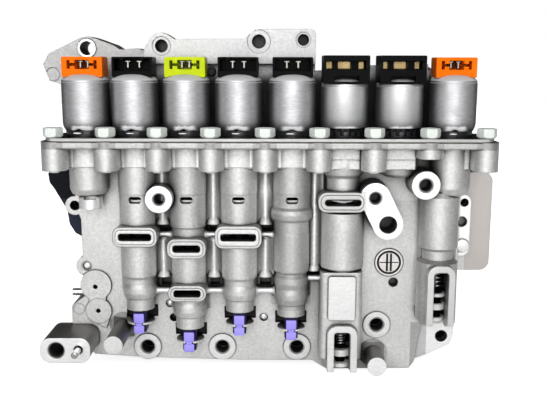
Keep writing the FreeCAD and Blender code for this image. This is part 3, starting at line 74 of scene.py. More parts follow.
eye = bpy.data.cameras.new("photo_camera")
eye.sensor_width = SENSOR * 1000.0
eye.lens = SENSOR * 1000.0 * FOCAL_PIXELS / PHOTO_WIDTH
eye.clip_start, eye.clip_end = 0.01, 20.0
camera = bpy.data.objects.new("photo_camera", eye)
bpy.context.scene.collection.objects.link(camera)
axes = np.array([CAMERA_RIGHT, -np.array(CAMERA_DOWN), -np.array(CAMERA_AHEAD)]).T
camera.matrix_world = Matrix.Translation(CAMERA_AT) @ Matrix(axes.tolist()).to_4x4()
bpy.context.scene.camera = camera
bpy.context.scene.view_settings.view_transform = "Standard"

MIDDLE = (0.0, -0.03, -0.05)


def soft_box(name, place, width, height, watts):
    """A rectangular lamp at a place, its face turned to the middle of the part."""
    lamp = bpy.data.lights.new(name, "AREA")
    lamp.shape = "RECTANGLE"
    lamp.size, lamp.size_y = width, height
    lamp.energy = watts
    thing = bpy.data.objects.new(name, lamp)
    bpy.context.scene.collection.objects.link(thing)
    facing = (Vector(MIDDLE) - Vector(place)).to_track_quat("-Z", "Y")
    thing.matrix_world = Matrix.Translation(place) @ facing.to_matrix().to_4x4()


soft_box("front_box", (-0.16, -1.20, 0.38), width=0.9, height=0.7, watts=8.0)
soft_box("top_box", (0.05, -0.80, 0.75), width=0.9, height=0.4, watts=1.2)
soft_box("low_box", (0.15, -1.20, -0.30), width=0.6, height=0.4, watts=3.0)
soft_box("fill_box", (0.08, -1.30, -0.02), width=0.8, height=0.5, watts=1.6)


class Nodes:
    """A node tree that is written one node a line: each call adds a node and joins what it is given."""

    def __init__(self, tree):
        self.tree = tree

    def add(self, kind, inputs=(), **settings):
        """A node of a kind with its settings. An input is a number, a colour, a socket or a node."""
        node = self.tree.nodes.new(kind)
        for key, value in settings.items():
            setattr(node, key, value)
        for key, value in dict(inputs).items():
            if isinstance(value, bpy.types.NodeSocket):
                self.tree.links.new(value, node.inputs[key])
            elif isinstance(value, bpy.types.Node):
                self.tree.links.new(value.outputs[0], node.inputs[key])
            else:
                node.inputs[key].default_value = value
        return node

    def math(self, operation, first, second=0.0):
        """A sum, product or comparison of two values."""
        return self.add("ShaderNodeMath", {0: first, 1: second}, operation=operation).outputs[0]

    def times(self, first, second):
        """The product of two values."""
        return self.math("MULTIPLY", first, second)

    def within(self, value, low, high):
        """1 where the value lies from low to high, and 0 elsewhere."""
        inputs = {0: value, 1: (low + high) / 2, 2: (high - low) / 2}
        return self.add("ShaderNodeMath", inputs, operation="COMPARE").outputs[0]

    def range(self, value, low, high, start=0.0, end=1.0):
        """The value carried from low..high to start..end, clamped and eased at both ends."""
        inputs = {"Value": value, "From Min": low, "From Max": high, "To Min": start, "To Max": end}
        return self.add("ShaderNodeMapRange", inputs, interpolation_type="SMOOTHSTEP").outputs["Result"]

    def mix(self, share, first, second):
        """Two colours mixed by a share."""
        node = self.add("ShaderNodeMix", {"Factor": share}, data_type="RGBA")
        for socket, value in ((node.inputs[6], first), (node.inputs[7], second)):
            if isinstance(value, bpy.types.NodeSocket):
                self.tree.links.new(value, socket)
            else:
                socket.default_value = value if len(value) == 4 else (*value, 1.0)
        return node.outputs[2]

    def noise(self, scale, detail, roughness, stretch=(1.0, 1.0, 1.0)):
        """Noise on Object coordinates, with features about 1/scale metres wide, stretched along an axis."""
        source = self.add("ShaderNodeTexCoord").outputs["Object"]
        place = self.add("ShaderNodeMapping", {"Vector": source, "Scale": stretch})
        inputs = {"Vector": place, "Scale": scale, "Detail": detail, "Roughness": roughness}
        return self.add("ShaderNodeTexNoise", inputs).outputs[0]

    def place(self):
        """The Object coordinates, one output for each axis."""
        source = self.add("ShaderNodeTexCoord").outputs["Object"]
        return self.add("ShaderNodeSeparateXYZ", {0: source}).outputs

    def facing(self, normal="True Normal"):
        """The parts of the surface's direction along X, Y and Z."""
        source = self.add("ShaderNodeNewGeometry").outputs[normal]
        return self.add("ShaderNodeSeparateXYZ", {0: source}).outputs

    def open_share(self, reach, samples=4):
        """How much of the surroundings within reach is open, from 0 to 1."""
        return self.add("ShaderNodeAmbientOcclusion", {"Distance": reach}, samples=samples).outputs["AO"]

    def relief(self, height, strength, distance, edge):
        """The surface's direction with a bump, on edges rounded by a radius."""
        rounded = self.add("ShaderNodeBevel", {"Radius": edge}, samples=4)
        inputs = {"Height": height, "Strength": strength, "Distance": distance, "Normal": rounded}
        return self.add("ShaderNodeBump", inputs)

    def paint(self, place, colour, zones):
        """The colour with each zone, a box given by two corners, mixed towards its tone by its share."""
        for box_low, box_high, tone, share in zones:
            inside = share
            for axis, start, end in zip("XYZ", box_low, box_high):
                inside = self.times(self.within(place[axis], start, end), inside)
            colour = self.mix(inside, colour, tone)
        return colour

    def surface(self, **inputs):
        """The shader of the whole material, whose inputs have underscores for spaces."""
        inputs = {key.replace("_", " "): value for key, value in inputs.items()}
        self.add("ShaderNodeOutputMaterial", {"Surface": self.add("ShaderNodeBsdfPrincipled", inputs)})


# Each line carries a stretch of a direction's X, Y or Z, which run from -1 to 1, to a level of light.
world = bpy.data.worlds.new("studio")
world.use_nodes = True
world.node_tree.nodes.clear()
bpy.context.scene.world = world
sky = Nodes(world.node_tree)
way = sky.add("ShaderNodeSeparateXYZ", {0: sky.add("ShaderNodeTexCoord").outputs["Generated"]}).outputs
flags = sky.range(sky.math("ABSOLUTE", way["X"]), 0.50, 1.0, 1.0, 0.10)
front = sky.range(way["Y"], -0.85, 0.10, 1.0, 0.05)
below = sky.range(way["Z"], -0.45, -0.12, 1.5, 0.9)
above = sky.range(way["Z"], 0.25, 0.85, 1.0, 0.30)
ambient = sky.range(way["Y"], -0.80, 0.35, 0.75, 0.10)
path = sky.add("ShaderNodeLightPath").outputs
seen = sky.math("MAXIMUM", path["Is Camera Ray"], path["Is Transmission Ray"])
mirrored = sky.times(path["Is Glossy Ray"], sky.times(sky.times(flags, front), sky.times(below, above)))
scattered = sky.times(sky.math("SUBTRACT", 1.0, path["Is Glossy Ray"]), ambient)
strength = sky.math("MAXIMUM", seen, sky.math("ADD", mirrored, scattered))
white = sky.add("ShaderNodeBackground", {"Color": (1.0, 1.0, 1.0, 1.0), "Strength": strength})
sky.add("ShaderNodeOutputWorld", {"Surface": white})


# The rear casting is the thick half: die-cast aluminium alloy, its mating faces skimmed flat on a mill,
# its oil channels left as cast. It carries the top flange, the left ear and the block at the right end.
MACHINED = (0.94, 0.94, 0.94)
CAST = (0.58, 0.58, 0.58)
CREVICE = (0.030, 0.028, 0.026)
# The three tones below are painted shade: in deep hollows, on what faces up, and on the wall behind the cans.
HOLLOW_SHADE = (0.008, 0.006, 0.0045)
UPWARD_SHADE = (0.055, 0.047, 0.040)
CAN_GAP_SHADE = (0.006, 0.006, 0.006)
BLACK = (0.004, 0.004, 0.004)
CORNER, HOLLOW, LINE = 0.006, 0.025, 0.0014
# Each row below paints shade, darker where less of the surroundings within its reach is open.
PAINTED_SHADE_ROWS = [
    (HOLLOW, 0.48, 0.22, 0.45, CREVICE),
    (HOLLOW, 0.26, 0.12, 0.95, HOLLOW_SHADE),
    (CORNER, 0.60, 0.20, 0.75, CREVICE),
    (LINE, 0.93, 0.55, 0.93, CREVICE),
]


def blank(name):
    """A new material and the empty tree that its nodes go into."""
    material = bpy.data.materials.new(name)
    material.use_nodes = True
    material.node_tree.nodes.clear()
    return material, Nodes(material.node_tree)


def pair(tone, dark, pale, lift=0.0):
    """A tone made darker and made paler, each by its factor."""
    return [c * dark for c in tone], [min(1.0, c * pale + lift) for c in tone]


def cast_alloy(name, cast, faces, zones=(), edge=0.0006, painted_shade=1.0, shade=None):
    """Die-cast alloy: a sandy, pitted skin with broad cloudy patches, rounded edges, and painted shade in the
    corners and on what faces up, scaled by a factor. A face is a row of depth, share, left and right: what
    looks along Y at that depth, between those places, is milled with faint tool lines, and bright by that
    share.
    A zone is a box, a tone and a share. A shade of depth and level paints shade on the wall at that depth
    below that level. A row of the shade table is a reach, the open shares where its tone starts and is full,
    and its most."""
    material, n = blank(name)
    place, facing = n.place(), n.facing()
    share = 0.0
    for depth, bright, left, right in faces:
        near = n.within(place["Y"], depth - 0.00012, depth + 0.00012)
        share = n.math("MAXIMUM", share, n.times(n.times(near, n.within(place["X"], left, right)), bright))
    milled = n.times(n.range(n.math("ABSOLUTE", facing["Y"]), 0.985, 0.999), share)
    clouds = n.noise(38.0, 4.0, 0.6)
    sand = n.noise(1900.0, 2.0, 0.6)
    pits = n.noise(620.0, 3.0, 0.55)
    tool_lines = n.noise(1500.0, 1.0, 0.5, (0.12, 1.0, 1.0))
    rough_skin = n.mix(n.range(clouds, 0.3, 0.7), *pair(cast, 0.92, 1.08))
    rough_skin = n.mix(n.range(pits, 0.35, 0.65, 0.0, 0.45), rough_skin, [c * 0.70 for c in cast])
    rough_skin = n.mix(n.range(sand, 0.35, 0.75, 0.0, 0.35), rough_skin, [c * 0.62 for c in cast])
    base = n.mix(milled, rough_skin, n.mix(n.range(tool_lines, 0.3, 0.7), *pair(MACHINED, 0.93, 1.04)))
    if shade is not None:
        depth, level = shade
        wall = n.within(place["Y"], depth - 0.0004, depth + 0.0004)
        base = n.mix(n.times(wall, n.range(place["Z"], level - 0.006, level, 0.96, 0.0)), base, CAN_GAP_SHADE)
    base = n.paint(place, base, zones)
    # Painted shade on what faces up, then in corners, in hollows and along narrow lines.
    base = n.mix(n.range(facing["Z"], 0.25, 0.80, 0.0, 0.50 * painted_shade), base, UPWARD_SHADE)
    openness = {reach: n.open_share(reach, 6) for reach in (CORNER, HOLLOW, LINE)}
    for reach, starts, full, most, tone in PAINTED_SHADE_ROWS:
        base = n.mix(n.range(openness[reach], starts, full, 0.0, most * painted_shade), base, tone)
    grain = n.times(n.math("ADD", sand, n.times(pits, 0.8)), n.range(milled, 0.0, 1.0, 1.0, 0.12))
    relief = n.relief(grain, 0.45, 0.0003, edge)
    gloss = n.math("SUBTRACT", n.range(clouds, 0.2, 0.8, 0.47, 0.58), n.times(milled, 0.10))
    n.surface(Base_Color=base, Metallic=0.88, Roughness=gloss, Normal=relief)
    return material


def wear(material, *nodes):
    """The CAD nodes that keep their own shape take this material in every slot."""
    for name in nodes:
        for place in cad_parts[name].material_slots:
            place.material = material


ALL_ALONG = (-0.15, 0.15)
REAR_DEPTHS = ((0.0, 1.0), (-0.0228, 1.0), (-0.0285, 0.45), (-0.024, 0.3))
REAR_FACES = [(depth, share, *ALL_ALONG) for depth, share in REAR_DEPTHS]
END_BLOCK = ((0.1225, -0.0250, -0.100), (0.140, -0.0230, 0.010), (0.50, 0.465, 0.44), 0.9)
TOP_FLANGE = ((-0.140, -0.0240, 0.0300), (0.100, 0.0010, 0.075), CREVICE, 0.22)
# The wall behind the cans takes painted shade below the tops of the cans.
UPPER_WALL = (-0.027, 0.036)
rear_alloy = cast_alloy("rear_alloy", CAST, REAR_FACES, [END_BLOCK, TOP_FLANGE], shade=UPPER_WALL)
wear(rear_alloy, "rear_body")


# The upper wall of the rear casting ends at the right in a rounded bead of the same alloy, cast in one with
# it, which shows behind the gap between the last two solenoids.
def build(name, points, faces, material):
    """A piece of closed shells from rows of points and faces, all turned outwards, shaded smooth."""
    mesh = bpy.data.meshes.new(name)
    mesh.from_pydata(np.concatenate(points).tolist(), [], faces)
    shells = bmesh.new()
    shells.from_mesh(mesh)
    bmesh.ops.recalc_face_normals(shells, faces=shells.faces)
    shells.to_mesh(mesh)
    shells.free()
    mesh.shade_smooth()
    mesh.materials.append(material)
    piece = bpy.data.objects.new(name, mesh)
    bpy.context.scene.collection.objects.link(piece)
    return piece


def skin(name, grids, material, sharp=0.6):
    """One mesh of closed shells. A shell is a grid of points: its columns join up round the piece, and a fan
    to the middle of the row closes the first row and the last one."""
    points, faces, start = [], [], 0
    for grid in grids:
        rows, columns, _ = grid.shape
        index = start + np.arange(rows * columns).reshape(rows, columns)
        ahead = np.roll(index, -1, axis=1)
        quads = np.stack([index[:-1], ahead[:-1], ahead[1:], index[1:]], axis=-1).reshape(-1, 4)
        first = start + rows * columns
        fans = [np.stack([np.full(columns, first), ahead[0], index[0]], axis=-1)]
        fans.append(np.stack([np.full(columns, first + 1), index[-1], ahead[-1]], axis=-1))
        points += [grid.reshape(-1, 3), grid[[0, -1]].mean(axis=1)]
        faces += quads.tolist() + np.concatenate(fans).tolist()
        start = first + 2
    piece = build(name, points, faces, material)
    piece.data.set_sharp_from_angle(angle=sharp)
    return piece


def stacked(xs, ys, levels):
    """A grid of points from its x, its y and the level of each row."""
    return np.stack([xs, ys, np.broadcast_to(levels[:, None], xs.shape)], axis=-1)


def soft_root(share):
    """The square root of a cosine or sine, with its sign kept."""
    return np.sign(share) * np.abs(share) ** 0.5


def wall_bead(x, half, back, front, low, high):
    """A superellipse: at angle t, half |cos t|^0.5 sgn(cos t) across and the same of sin t between back and
    front. It is carried up from low to high and drawn in by (1 - sqrt(1 - s^2)) over the crown, the last
    3 mm, where s runs from 0 to 0.95."""
    crown = 0.003
    s = np.concatenate([np.zeros(2), np.linspace(0.0, 0.95, 8)])
    z = np.concatenate([[low], [high - crown], high - crown * (1.0 - s[2:])])
    size = np.sqrt(1.0 - s ** 2)[:, None]
    t = np.linspace(0.0, 2.0 * np.pi, 40, endpoint=False)
    across, deep = half * soft_root(np.cos(t)), (back - front) / 2 * soft_root(np.sin(t))
    return stacked(x + across * size, (back + front) / 2 + deep * size, z)


edge_bead = wall_bead(x=0.0955, half=0.0025, back=-0.013, front=-0.0272, low=-0.004, high=0.0395)
bead = skin("wall_bead", [edge_bead], rear_alloy)
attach(bead, "housing")


# The separator plate is rolled steel, stamped out, with fine lines along the rolling direction. The rims of
# its holes are square, and only its edge shows between the castings.
BORE_SHADE = (0.006, 0.005, 0.005)
GROOVE_SHADE = (0.010, 0.009, 0.008)
SHADOW = (0.02, 0.02, 0.02)


def plain_metal(
    name, tone, metallic=1.0, gloss=(0.25, 0.4), lines=(1.0, 1.0, 1.0), dark=0.35, reach=0.004,
    open_share=0.5, lit_bands=None, deep=None, top=None, zones=(), rings=None,
):
    """Worked metal: fine lines stretched along one axis, cloudy gloss, rounded edges, and painted shade in
    corners where less than open_share of the surroundings within reach is open. With lit bands, rows of a
    lower and an upper level, only these keep the tone and the rest is painted black, as shade; so is what
    lies behind the depth deep. What faces up takes the tone top. Rings are a middle and rows of two radii
    painted dark, as groove shade."""
    material, n = blank(name)
    fine = n.noise(900.0, 2.0, 0.5, lines)
    clouds = n.noise(60.0, 3.0, 0.6)
    place = n.place()
    colour = n.mix(n.range(fine, 0.3, 0.7), *pair(tone, 0.93, 1.05))
    if lit_bands is not None:
        lit_share = 0.0
        for low, high in lit_bands:
            lit_share = n.math("MAXIMUM", lit_share, n.within(place["Z"], low, high))
        colour = n.mix(lit_share, BLACK, colour)
        metallic = n.range(lit_share, 0.0, 1.0, 1.0, metallic)
    if deep is not None:
        colour = n.mix(n.math("GREATER_THAN", place["Y"], deep), colour, BORE_SHADE)
    if rings is not None:
        centre, grooves = rings
        across, along = [n.math("SUBTRACT", place[axis], middle) for axis, middle in zip("XZ", centre)]
        radius = n.math("SQRT", n.math("ADD", n.times(across, across), n.times(along, along)))
        for inner, outer in grooves:
            colour = n.mix(n.within(radius, inner, outer), colour, GROOVE_SHADE)
    colour = n.paint(place, colour, zones)
    if top is not None:
        colour = n.mix(n.range(n.facing()["Z"], 0.5, 0.9), colour, top)
    closed = n.range(n.open_share(reach), open_share, open_share * 0.3, 0.0, dark)
    colour = n.mix(closed, colour, SHADOW)
    relief = n.relief(fine, 0.12, 0.0001, edge=0.0003)
    rough = n.range(n.math("ADD", clouds, n.times(fine, 0.4)), 0.45, 0.95, *gloss)
    n.surface(Base_Color=colour, Metallic=metallic, Roughness=rough, Normal=relief)
    return material


ALONG_X = (0.06, 1.0, 1.0)
wear(plain_metal("rolled_steel", (0.62, 0.62, 0.63), lines=ALONG_X), "separator_plate")


# The front casting carries the solenoid pockets and the valve bores. It is the same alloy; the rims of
# its oil ports, its spot faces, its foot and the guide rims are milled bright after casting.
STATIONS = (-0.1073, -0.0787, -0.0487, -0.0183, 0.0130, 0.0433, 0.0752, 0.1063)
WINDOWS = [(-0.0787, 0.1054), (-0.0487, 0.1170), (-0.0183, 0.1064), (0.0130, 0.1092)]
between = (np.array(STATIONS[1:]) + np.array(STATIONS[:-1])) / 2
LEFT_BOLT, RIGHT_BOLT = 0.0152, 0.0162
BOLTS = [STATIONS[0] - LEFT_BOLT, *between.tolist(), STATIONS[-1] + RIGHT_BOLT]
PILLAR_SHADE = (0.035, 0.032, 0.030)
FRONT_FACES = [
    (-0.062, 1.0, -0.075, -0.050),
    (-0.062, 1.0, 0.080, 0.0985),
    (-0.060, 1.0, 0.0525, 0.080),
    (-0.060, 0.35, 0.020, 0.0525),
    (-0.062, 0.35, 0.030, 0.055),
    (-0.062, 0.35, 0.0925, 0.110),
    (-0.061, 0.22, *ALL_ALONG),
    (-0.0596, 0.45, *ALL_ALONG),
    (-0.066, 0.90, *ALL_ALONG),
    (-0.0640, 0.9, *ALL_ALONG),
    (-0.0755, 0.35, *ALL_ALONG),
    (-0.041, 0.40, *ALL_ALONG),
    (-0.036, 1.0, *ALL_ALONG),
    (-0.030, 1.0, *ALL_ALONG),
]
ZONES = {
    "ledge_under_bracket": ((-0.14, -0.0712, -0.0062), (0.14, -0.0690, -0.0018), CREVICE, 0.24),
    "fifth_column": ((0.0005, -0.0650, -0.1050), (0.0250, -0.0400, -0.0180), CREVICE, 0.22),
    "third_column_top": ((-0.0600, -0.0650, -0.0640), (-0.0372, -0.0400, -0.0180), CREVICE, 0.14),
    "last_column_face": ((0.0930, -0.0622, -0.1260), (0.1160, -0.0618, -0.0700), (0.55, 0.55, 0.54), 0.65),
    # Painted light on the floor under the gallery, lifting the lamp's shadow there.
    "painted_light_on_floor": ((0.0520, -0.0405, -0.0400), (0.1000, -0.0395, -0.0190), (1.0, 1.0, 1.0), 0.25),
    # Painted shade on the top of the foot.
    "foot_top_shade": ((-0.1370, -0.0656, -0.1345), (-0.1055, -0.0405, -0.1175), (0.050, 0.041, 0.034), 0.50),
    "sixth_port_face": ((0.0270, -0.0602, -0.0450), (0.0560, -0.0598, -0.0310), (0.42, 0.42, 0.41), 0.7),
    # These two zones paint shade on the shafts of the left and right pillars.
    "left_pillar_shade": ((-0.0965, -0.0752, -0.1260), (-0.0840, -0.0402, -0.1130), PILLAR_SHADE, 0.72),
    "right_pillar_shade": ((0.0570, -0.0637, -0.1430), (0.0712, -0.0402, -0.1290), PILLAR_SHADE, 0.45),
    "step_by_right_ear": ((0.0873, -0.0405, -0.1450), (0.0980, -0.0355, -0.1165), CREVICE, 0.38),
}


def window_shade_zone(x, window):
    """Painted shade: black in the room behind the window of a valve bore."""
    return (x - 0.0097, -0.0435, -window - 0.0076), (x + 0.0097, -0.0355, -window + 0.0001), BLACK, 0.97


def ledge_shade_zone(x):
    """Painted shade on the stretch of the ledge round a bolt of the bracket."""
    return (x - 0.0068, -0.0712, -0.0062), (x + 0.0068, -0.0690, -0.0018), CREVICE, 0.30


front_zones = [window_shade_zone(*pocket) for pocket in WINDOWS] + [ledge_shade_zone(x) for x in BOLTS]
front_zones += ZONES.values()
front_alloy = cast_alloy("front_alloy", (0.70, 0.70, 0.69), FRONT_FACES, front_zones, edge=0.0008)
wear(front_alloy, "front_body")


# Between the columns stand upright ribs with soft shoulders, tied by round cross bars. They are cast in one
# with the columns and stiffen the thin floor; they take a much paler tone and less painted shade than the
# columns, a painted highlight for the light they catch.
AXIS_Y = -0.046


def rib_shell(x, low, high, bulge=0.0):
    """Front at height z and place u across: y = -(41.0 + e(z) (4.6 + 4.0 exp(-(u / w(z))^2))) mm. The share e
    closes both ends; w is 2.9 mm and opens to 4.6 mm over the lowest 5 mm, and a bulge adds to w round the
    level BULGE_AT. The back closes inside the metal."""
    half, foot = 0.0052, 0.005
    u = np.linspace(-1.0, 1.0, 33)
    z = np.linspace(low, high, 60)
    width = 0.0029 + 0.0017 * np.clip((low + foot - z) / foot, 0.0, 1.0) ** 1.6
    width = width + bulge * np.exp(-(((z - BULGE_AT) / 0.0042) ** 2))
    ends = np.sqrt(np.clip(1.0 - ((2 * z - low - high) / (high - low)) ** 24, 0.05, 1.0))
    across = half * u[None, :] * np.ones_like(z)[:, None]
    front = -0.0410 - (0.0046 + 0.0040 * np.exp(-((across / width[:, None]) ** 2))) * ends[:, None]
    xs = x + np.concatenate([across, across[:, ::-1]], axis=1)
    return stacked(xs, np.concatenate([front, np.full_like(front, -0.0395)], axis=1), z)


def bar_shell(x, level):
    """A cross bar: its section at angle t is (level + r(u) sin t, -46.0 mm - r(u) cos t), and
    r(u) = 1.7 mm (1 + 0.7 u^6) runs out into the columns at both ends."""
    half, radius = 0.0056, 0.0017
    u = np.linspace(-1.0, 1.0, 25)
    t = np.linspace(0.0, 2.0 * np.pi, 24, endpoint=False)
    size = radius * (1.0 + 0.7 * u[:, None] ** 6)
    xs = np.broadcast_to((x + half * u)[:, None], (u.size, t.size))
    return np.stack([xs, AXIS_Y - size * np.cos(t), level + size * np.sin(t)], axis=-1)


GAPS = (-0.0637, -0.0335, -0.00265)
LAST_GAP = 0.02655
UPPER_RIB, LOWER_RIB = (-0.0535, -0.0170), (-0.0855, -0.0608)
BULGE_AT = -0.0330
rib_alloy = cast_alloy("rib_alloy", (0.98, 0.98, 0.97), [], painted_shade=0.35)
ribs = [rib_shell(x, *span) for x in GAPS[:2] for span in (UPPER_RIB, LOWER_RIB)]
ribs += [rib_shell(GAPS[2], *UPPER_RIB, bulge=0.0012), rib_shell(GAPS[2], *LOWER_RIB)]
ribs.append(rib_shell(LAST_GAP, -0.0816, -0.0170))
bars = [bar_shell(x, level) for x in GAPS for level in (-0.0597, -0.0944)] + [bar_shell(LAST_GAP, -0.0864)]
webs = skin("ribs_and_bars", ribs + bars, rib_alloy, 0.9)
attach(webs, "housing")


# The wall over the upper gallery is raised a little between the bosses of the bracket bolts, and milled
# flat beside them. It is part of the front casting and leaves the mould downwards.
def panel_shell(left, right):
    """The wall at place u across, from -1 to 1: y = -(57.5 - 0.9 (u / 0.74)^2) mm up to |u| = 0.74, then a
    flat land at -56.6 mm; over its lowest 1.5 mm it falls back by up to 3 mm, for the draft."""
    crest, land, back, shoulder = -0.0575, -0.0566, -0.0500, 0.74
    u = np.concatenate([[-1.0], np.linspace(-shoulder, shoulder, 21), [1.0]])
    z = np.array([-0.0193, -0.0191, -0.0186, -0.0178, -0.0120, -0.0059])
    draft = np.clip((-0.0178 - z) / 0.0015, 0.0, 1.0)
    face = np.where(np.abs(u) > shoulder, land, crest + (land - crest) * (u / shoulder) ** 2)
    front = face[None, :] + 0.0030 * draft[:, None] ** 2
    xs = (left + right) / 2 + (right - left) / 2 * u
    xs = np.broadcast_to(np.concatenate([xs, xs[::-1]]), (z.size, 2 * u.size))
    return stacked(xs, np.concatenate([front, np.full_like(front, back)], axis=1), z)


BOSS_HALF = 0.0066
walls = [panel_shell(BOLTS[k] + BOSS_HALF, BOLTS[k + 1] - BOSS_HALF) for k in range(5)]
panel_alloy = cast_alloy("panel_alloy", (0.74, 0.74, 0.73), [(-0.0566, 1.0, *ALL_ALONG)], painted_shade=0.7)
panels = skin("gallery_panels", walls, panel_alloy, 0.5)
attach(panels, "housing")


# The rims of the oil ports stand on the columns with a fine witness line round the milled face, where the
# cutter stopped, and with a dark bead round the whole rim, which is painted shade at the rim's edge.
def bead_loop(x, z, half, high, corner, depth, radius):
    """A bead of radius r along a rounded rectangle: the path point P(s) with its outward normal N(s), and the
    section point at angle t is P + r cos t N + r sin t Y."""
    turn = np.linspace(0.0, np.pi / 2, 8)
    arcs, normals = [], []
    for number, (sx, sz) in enumerate(((1, 1), (-1, 1), (-1, -1), (1, -1))):
        a = turn + number * np.pi / 2
        normal = np.stack([np.cos(a), 0.0 * a, np.sin(a)], axis=-1)
        arcs.append(np.array([x + sx * (half - corner), depth, z + sz * (high - corner)]) + corner * normal)
        normals.append(normal)
    path, normal = np.concatenate(arcs), np.concatenate(normals)
    t = np.linspace(0.0, 2.0 * np.pi, 8, endpoint=False)
    out = np.cos(t)[:, None, None] * normal[None] + np.sin(t)[:, None, None] * np.array([0.0, 1.0, 0.0])
    return path[None] + radius * out


def loop_skin(name, grids, material):
    """One mesh of closed rings: both the rows and the columns of each grid join up."""
    points, faces, start = [], [], 0
    for grid in grids:
        rows, columns, _ = grid.shape
        index = start + np.arange(rows * columns).reshape(rows, columns)
        across = np.roll(index, -1, axis=1)
        quads = [index, across, np.roll(across, -1, axis=0), np.roll(index, -1, axis=0)]
        faces += np.stack(quads, axis=-1).reshape(-1, 4).tolist()
        points.append(grid.reshape(-1, 3))
        start += rows * columns
    return build(name, points, faces, material)


PORTS = [
    (-0.0787, -0.0585, 0.01285, 0.00575),
    (-0.0487, -0.0654, 0.01125, 0.00575),
    (-0.0487, -0.0925, 0.01115, 0.00470),
    (-0.0183, -0.0585, 0.01355, 0.00655),
]
LINK_PORT = (0.0421, -0.0378, 0.0139, 0.0058)
LINK_FACE = (0.0421, -0.0378, 0.0124, 0.0043)
RIM = 0.0016
loops = [bead_loop(x, z, half - RIM, high - RIM, 0.0030, -0.0606, 0.00020) for x, z, half, high in PORTS]
loops += [bead_loop(*port, 0.0046, -0.0603, 0.00028) for port in PORTS]
loops.append(bead_loop(*LINK_FACE, 0.0038, -0.0600, 0.00018))
loops.append(bead_loop(*LINK_PORT, 0.0050, -0.0597, 0.00028))
witness_and_shade = cast_alloy("witness_and_shade_alloy", (0.10, 0.098, 0.095), [])
witness = loop_skin("port_lines", loops, witness_and_shade)
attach(witness, "housing")


# Where a column meets the floor of the casting, the metal runs out in a hollow fillet that lets it leave
# the mould. It is part of the casting, as high as the straight run of its column.
FLOOR_Y = -0.040


def fillet_strip(x, side, radius, low, high):
    """For t from 0 to 90 degrees: x = radius + reach(z) (1 - cos t), y = -45.5 mm + 5.5 mm sin t, started and
    closed inside the metal; reach(z) is 2.1 mm and swells to 1.6 times that over the top 12 mm."""
    sunk, start, reach, top = 0.0003, 0.0005, 0.0021, 0.012
    t = np.linspace(0.0, np.pi / 2, 9)
    z = np.linspace(low, high, 40)
    swell = reach * (1.0 + 0.6 * np.clip((z - high + top) / top, 0.0, 1.0) ** 2)
    across = radius - sunk + (swell[:, None] + sunk) * (1.0 - np.cos(t))[None, :]
    deep = AXIS_Y + start + (FLOOR_Y - AXIS_Y - start) * np.sin(t)[None, :] + 0.0 * z[:, None]
    inside = np.full(z.size, radius - 0.006)
    inner_x = np.stack([across[:, -1], inside, inside], axis=1)
    inner_y = np.broadcast_to(FLOOR_Y + np.array([0.0006, 0.0006, -0.0055]), inner_x.shape)
    xs = x + side * np.concatenate([across, inner_x], axis=1)
    return stacked(xs, np.concatenate([deep, inner_y], axis=1), z)


COLUMN_FEET = (-0.0955, -0.1070, -0.0965, -0.0990)
STRIPS = [(x, 0.0100, foot, -0.0200) for x, foot in zip(STATIONS[1:5], COLUMN_FEET)]
STRIPS.append((0.1009, 0.0104, -0.1060, -0.0370))
strips = [fillet_strip(x, side, radius, low, high) for x, radius, low, high in STRIPS for side in (-1, 1)]
fillets = skin("column_fillets", strips, front_alloy)
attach(fillets, "housing")


# Under each window of a valve bore the casting keeps a lip, slit at the front for the neck of the key. Along
# its rounded front edge, on both sides of the slit, lies a bright bead that is a painted highlight.
def prong_shell(x, window, side):
    """A bead along the arc (x + side R sin a, y = -46 mm - R cos a) with R = 7.75 mm and a from 14 to 66
    degrees; its section is an ellipse of 0.8 by 0.75 mm that closes at both ends."""
    radius, half_width, half_height, drop = 0.00775, 0.0008, 0.00075, 0.00818
    a = np.radians(np.linspace(14.0, 66.0, 24))[:, None]
    t = np.linspace(0.0, 2.0 * np.pi, 16, endpoint=False)[None, :]
    size = np.sqrt(np.clip(1.0 - np.linspace(-0.97, 0.97, 24) ** 8, 0.0, 1.0))[:, None]
    reach = radius + half_width * size * np.cos(t)
    zs = -window - drop + half_height * size * np.sin(t)
    return np.stack([x + side * reach * np.sin(a), AXIS_Y - reach * np.cos(a), zs], axis=-1)


lip_highlight_metal = plain_metal("lip_highlight_alloy", (0.86, 0.86, 0.84), metallic=0.6, gloss=(0.35, 0.5), dark=0.0)
prongs = skin("lip_prongs", [prong_shell(x, w, side) for x, w in WINDOWS for side in (-1, 1)], lip_highlight_metal)
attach(prongs, "housing")


# Round pins are ground from rod and have a rounded lead at the front: the dowel of the foot and the locating
# pin of the end strip. The slit spring pin is rolled from strip; the steel balls close drilled channels.
def turned_about_y(rows, x, z):
    """Rows of (radius, depth) turned about the line through x and z: the point at angle a and row i is
    (x + r_i cos a, y_i, z + r_i sin a)."""
    a = np.linspace(0.0, 2.0 * np.pi, 48, endpoint=False)
    radius, depth = np.array(rows).T[:, :, None]
    return np.stack([x + radius * np.cos(a), depth + 0.0 * a, z + radius * np.sin(a)], axis=-1)


def pin_rows(radius, back, front, lead):
    """Rows of a pin from its back to its front: a chamfer of 0.3 mm, the straight rod, and a lead where the
    radius is radius - lead (1 - sqrt(1 - s^2)), with s from 0 to 0.97 over the length lead."""
    chamfer, straight = 0.0003, 0.0005
    s = np.linspace(0.0, 0.97, 8)
    rows = [(radius - chamfer, back), (radius, back - chamfer), (radius, front + lead + straight)]
    return rows + list(zip(radius - lead * (1.0 - np.sqrt(1.0 - s ** 2)), front + lead * (1.0 - s)))


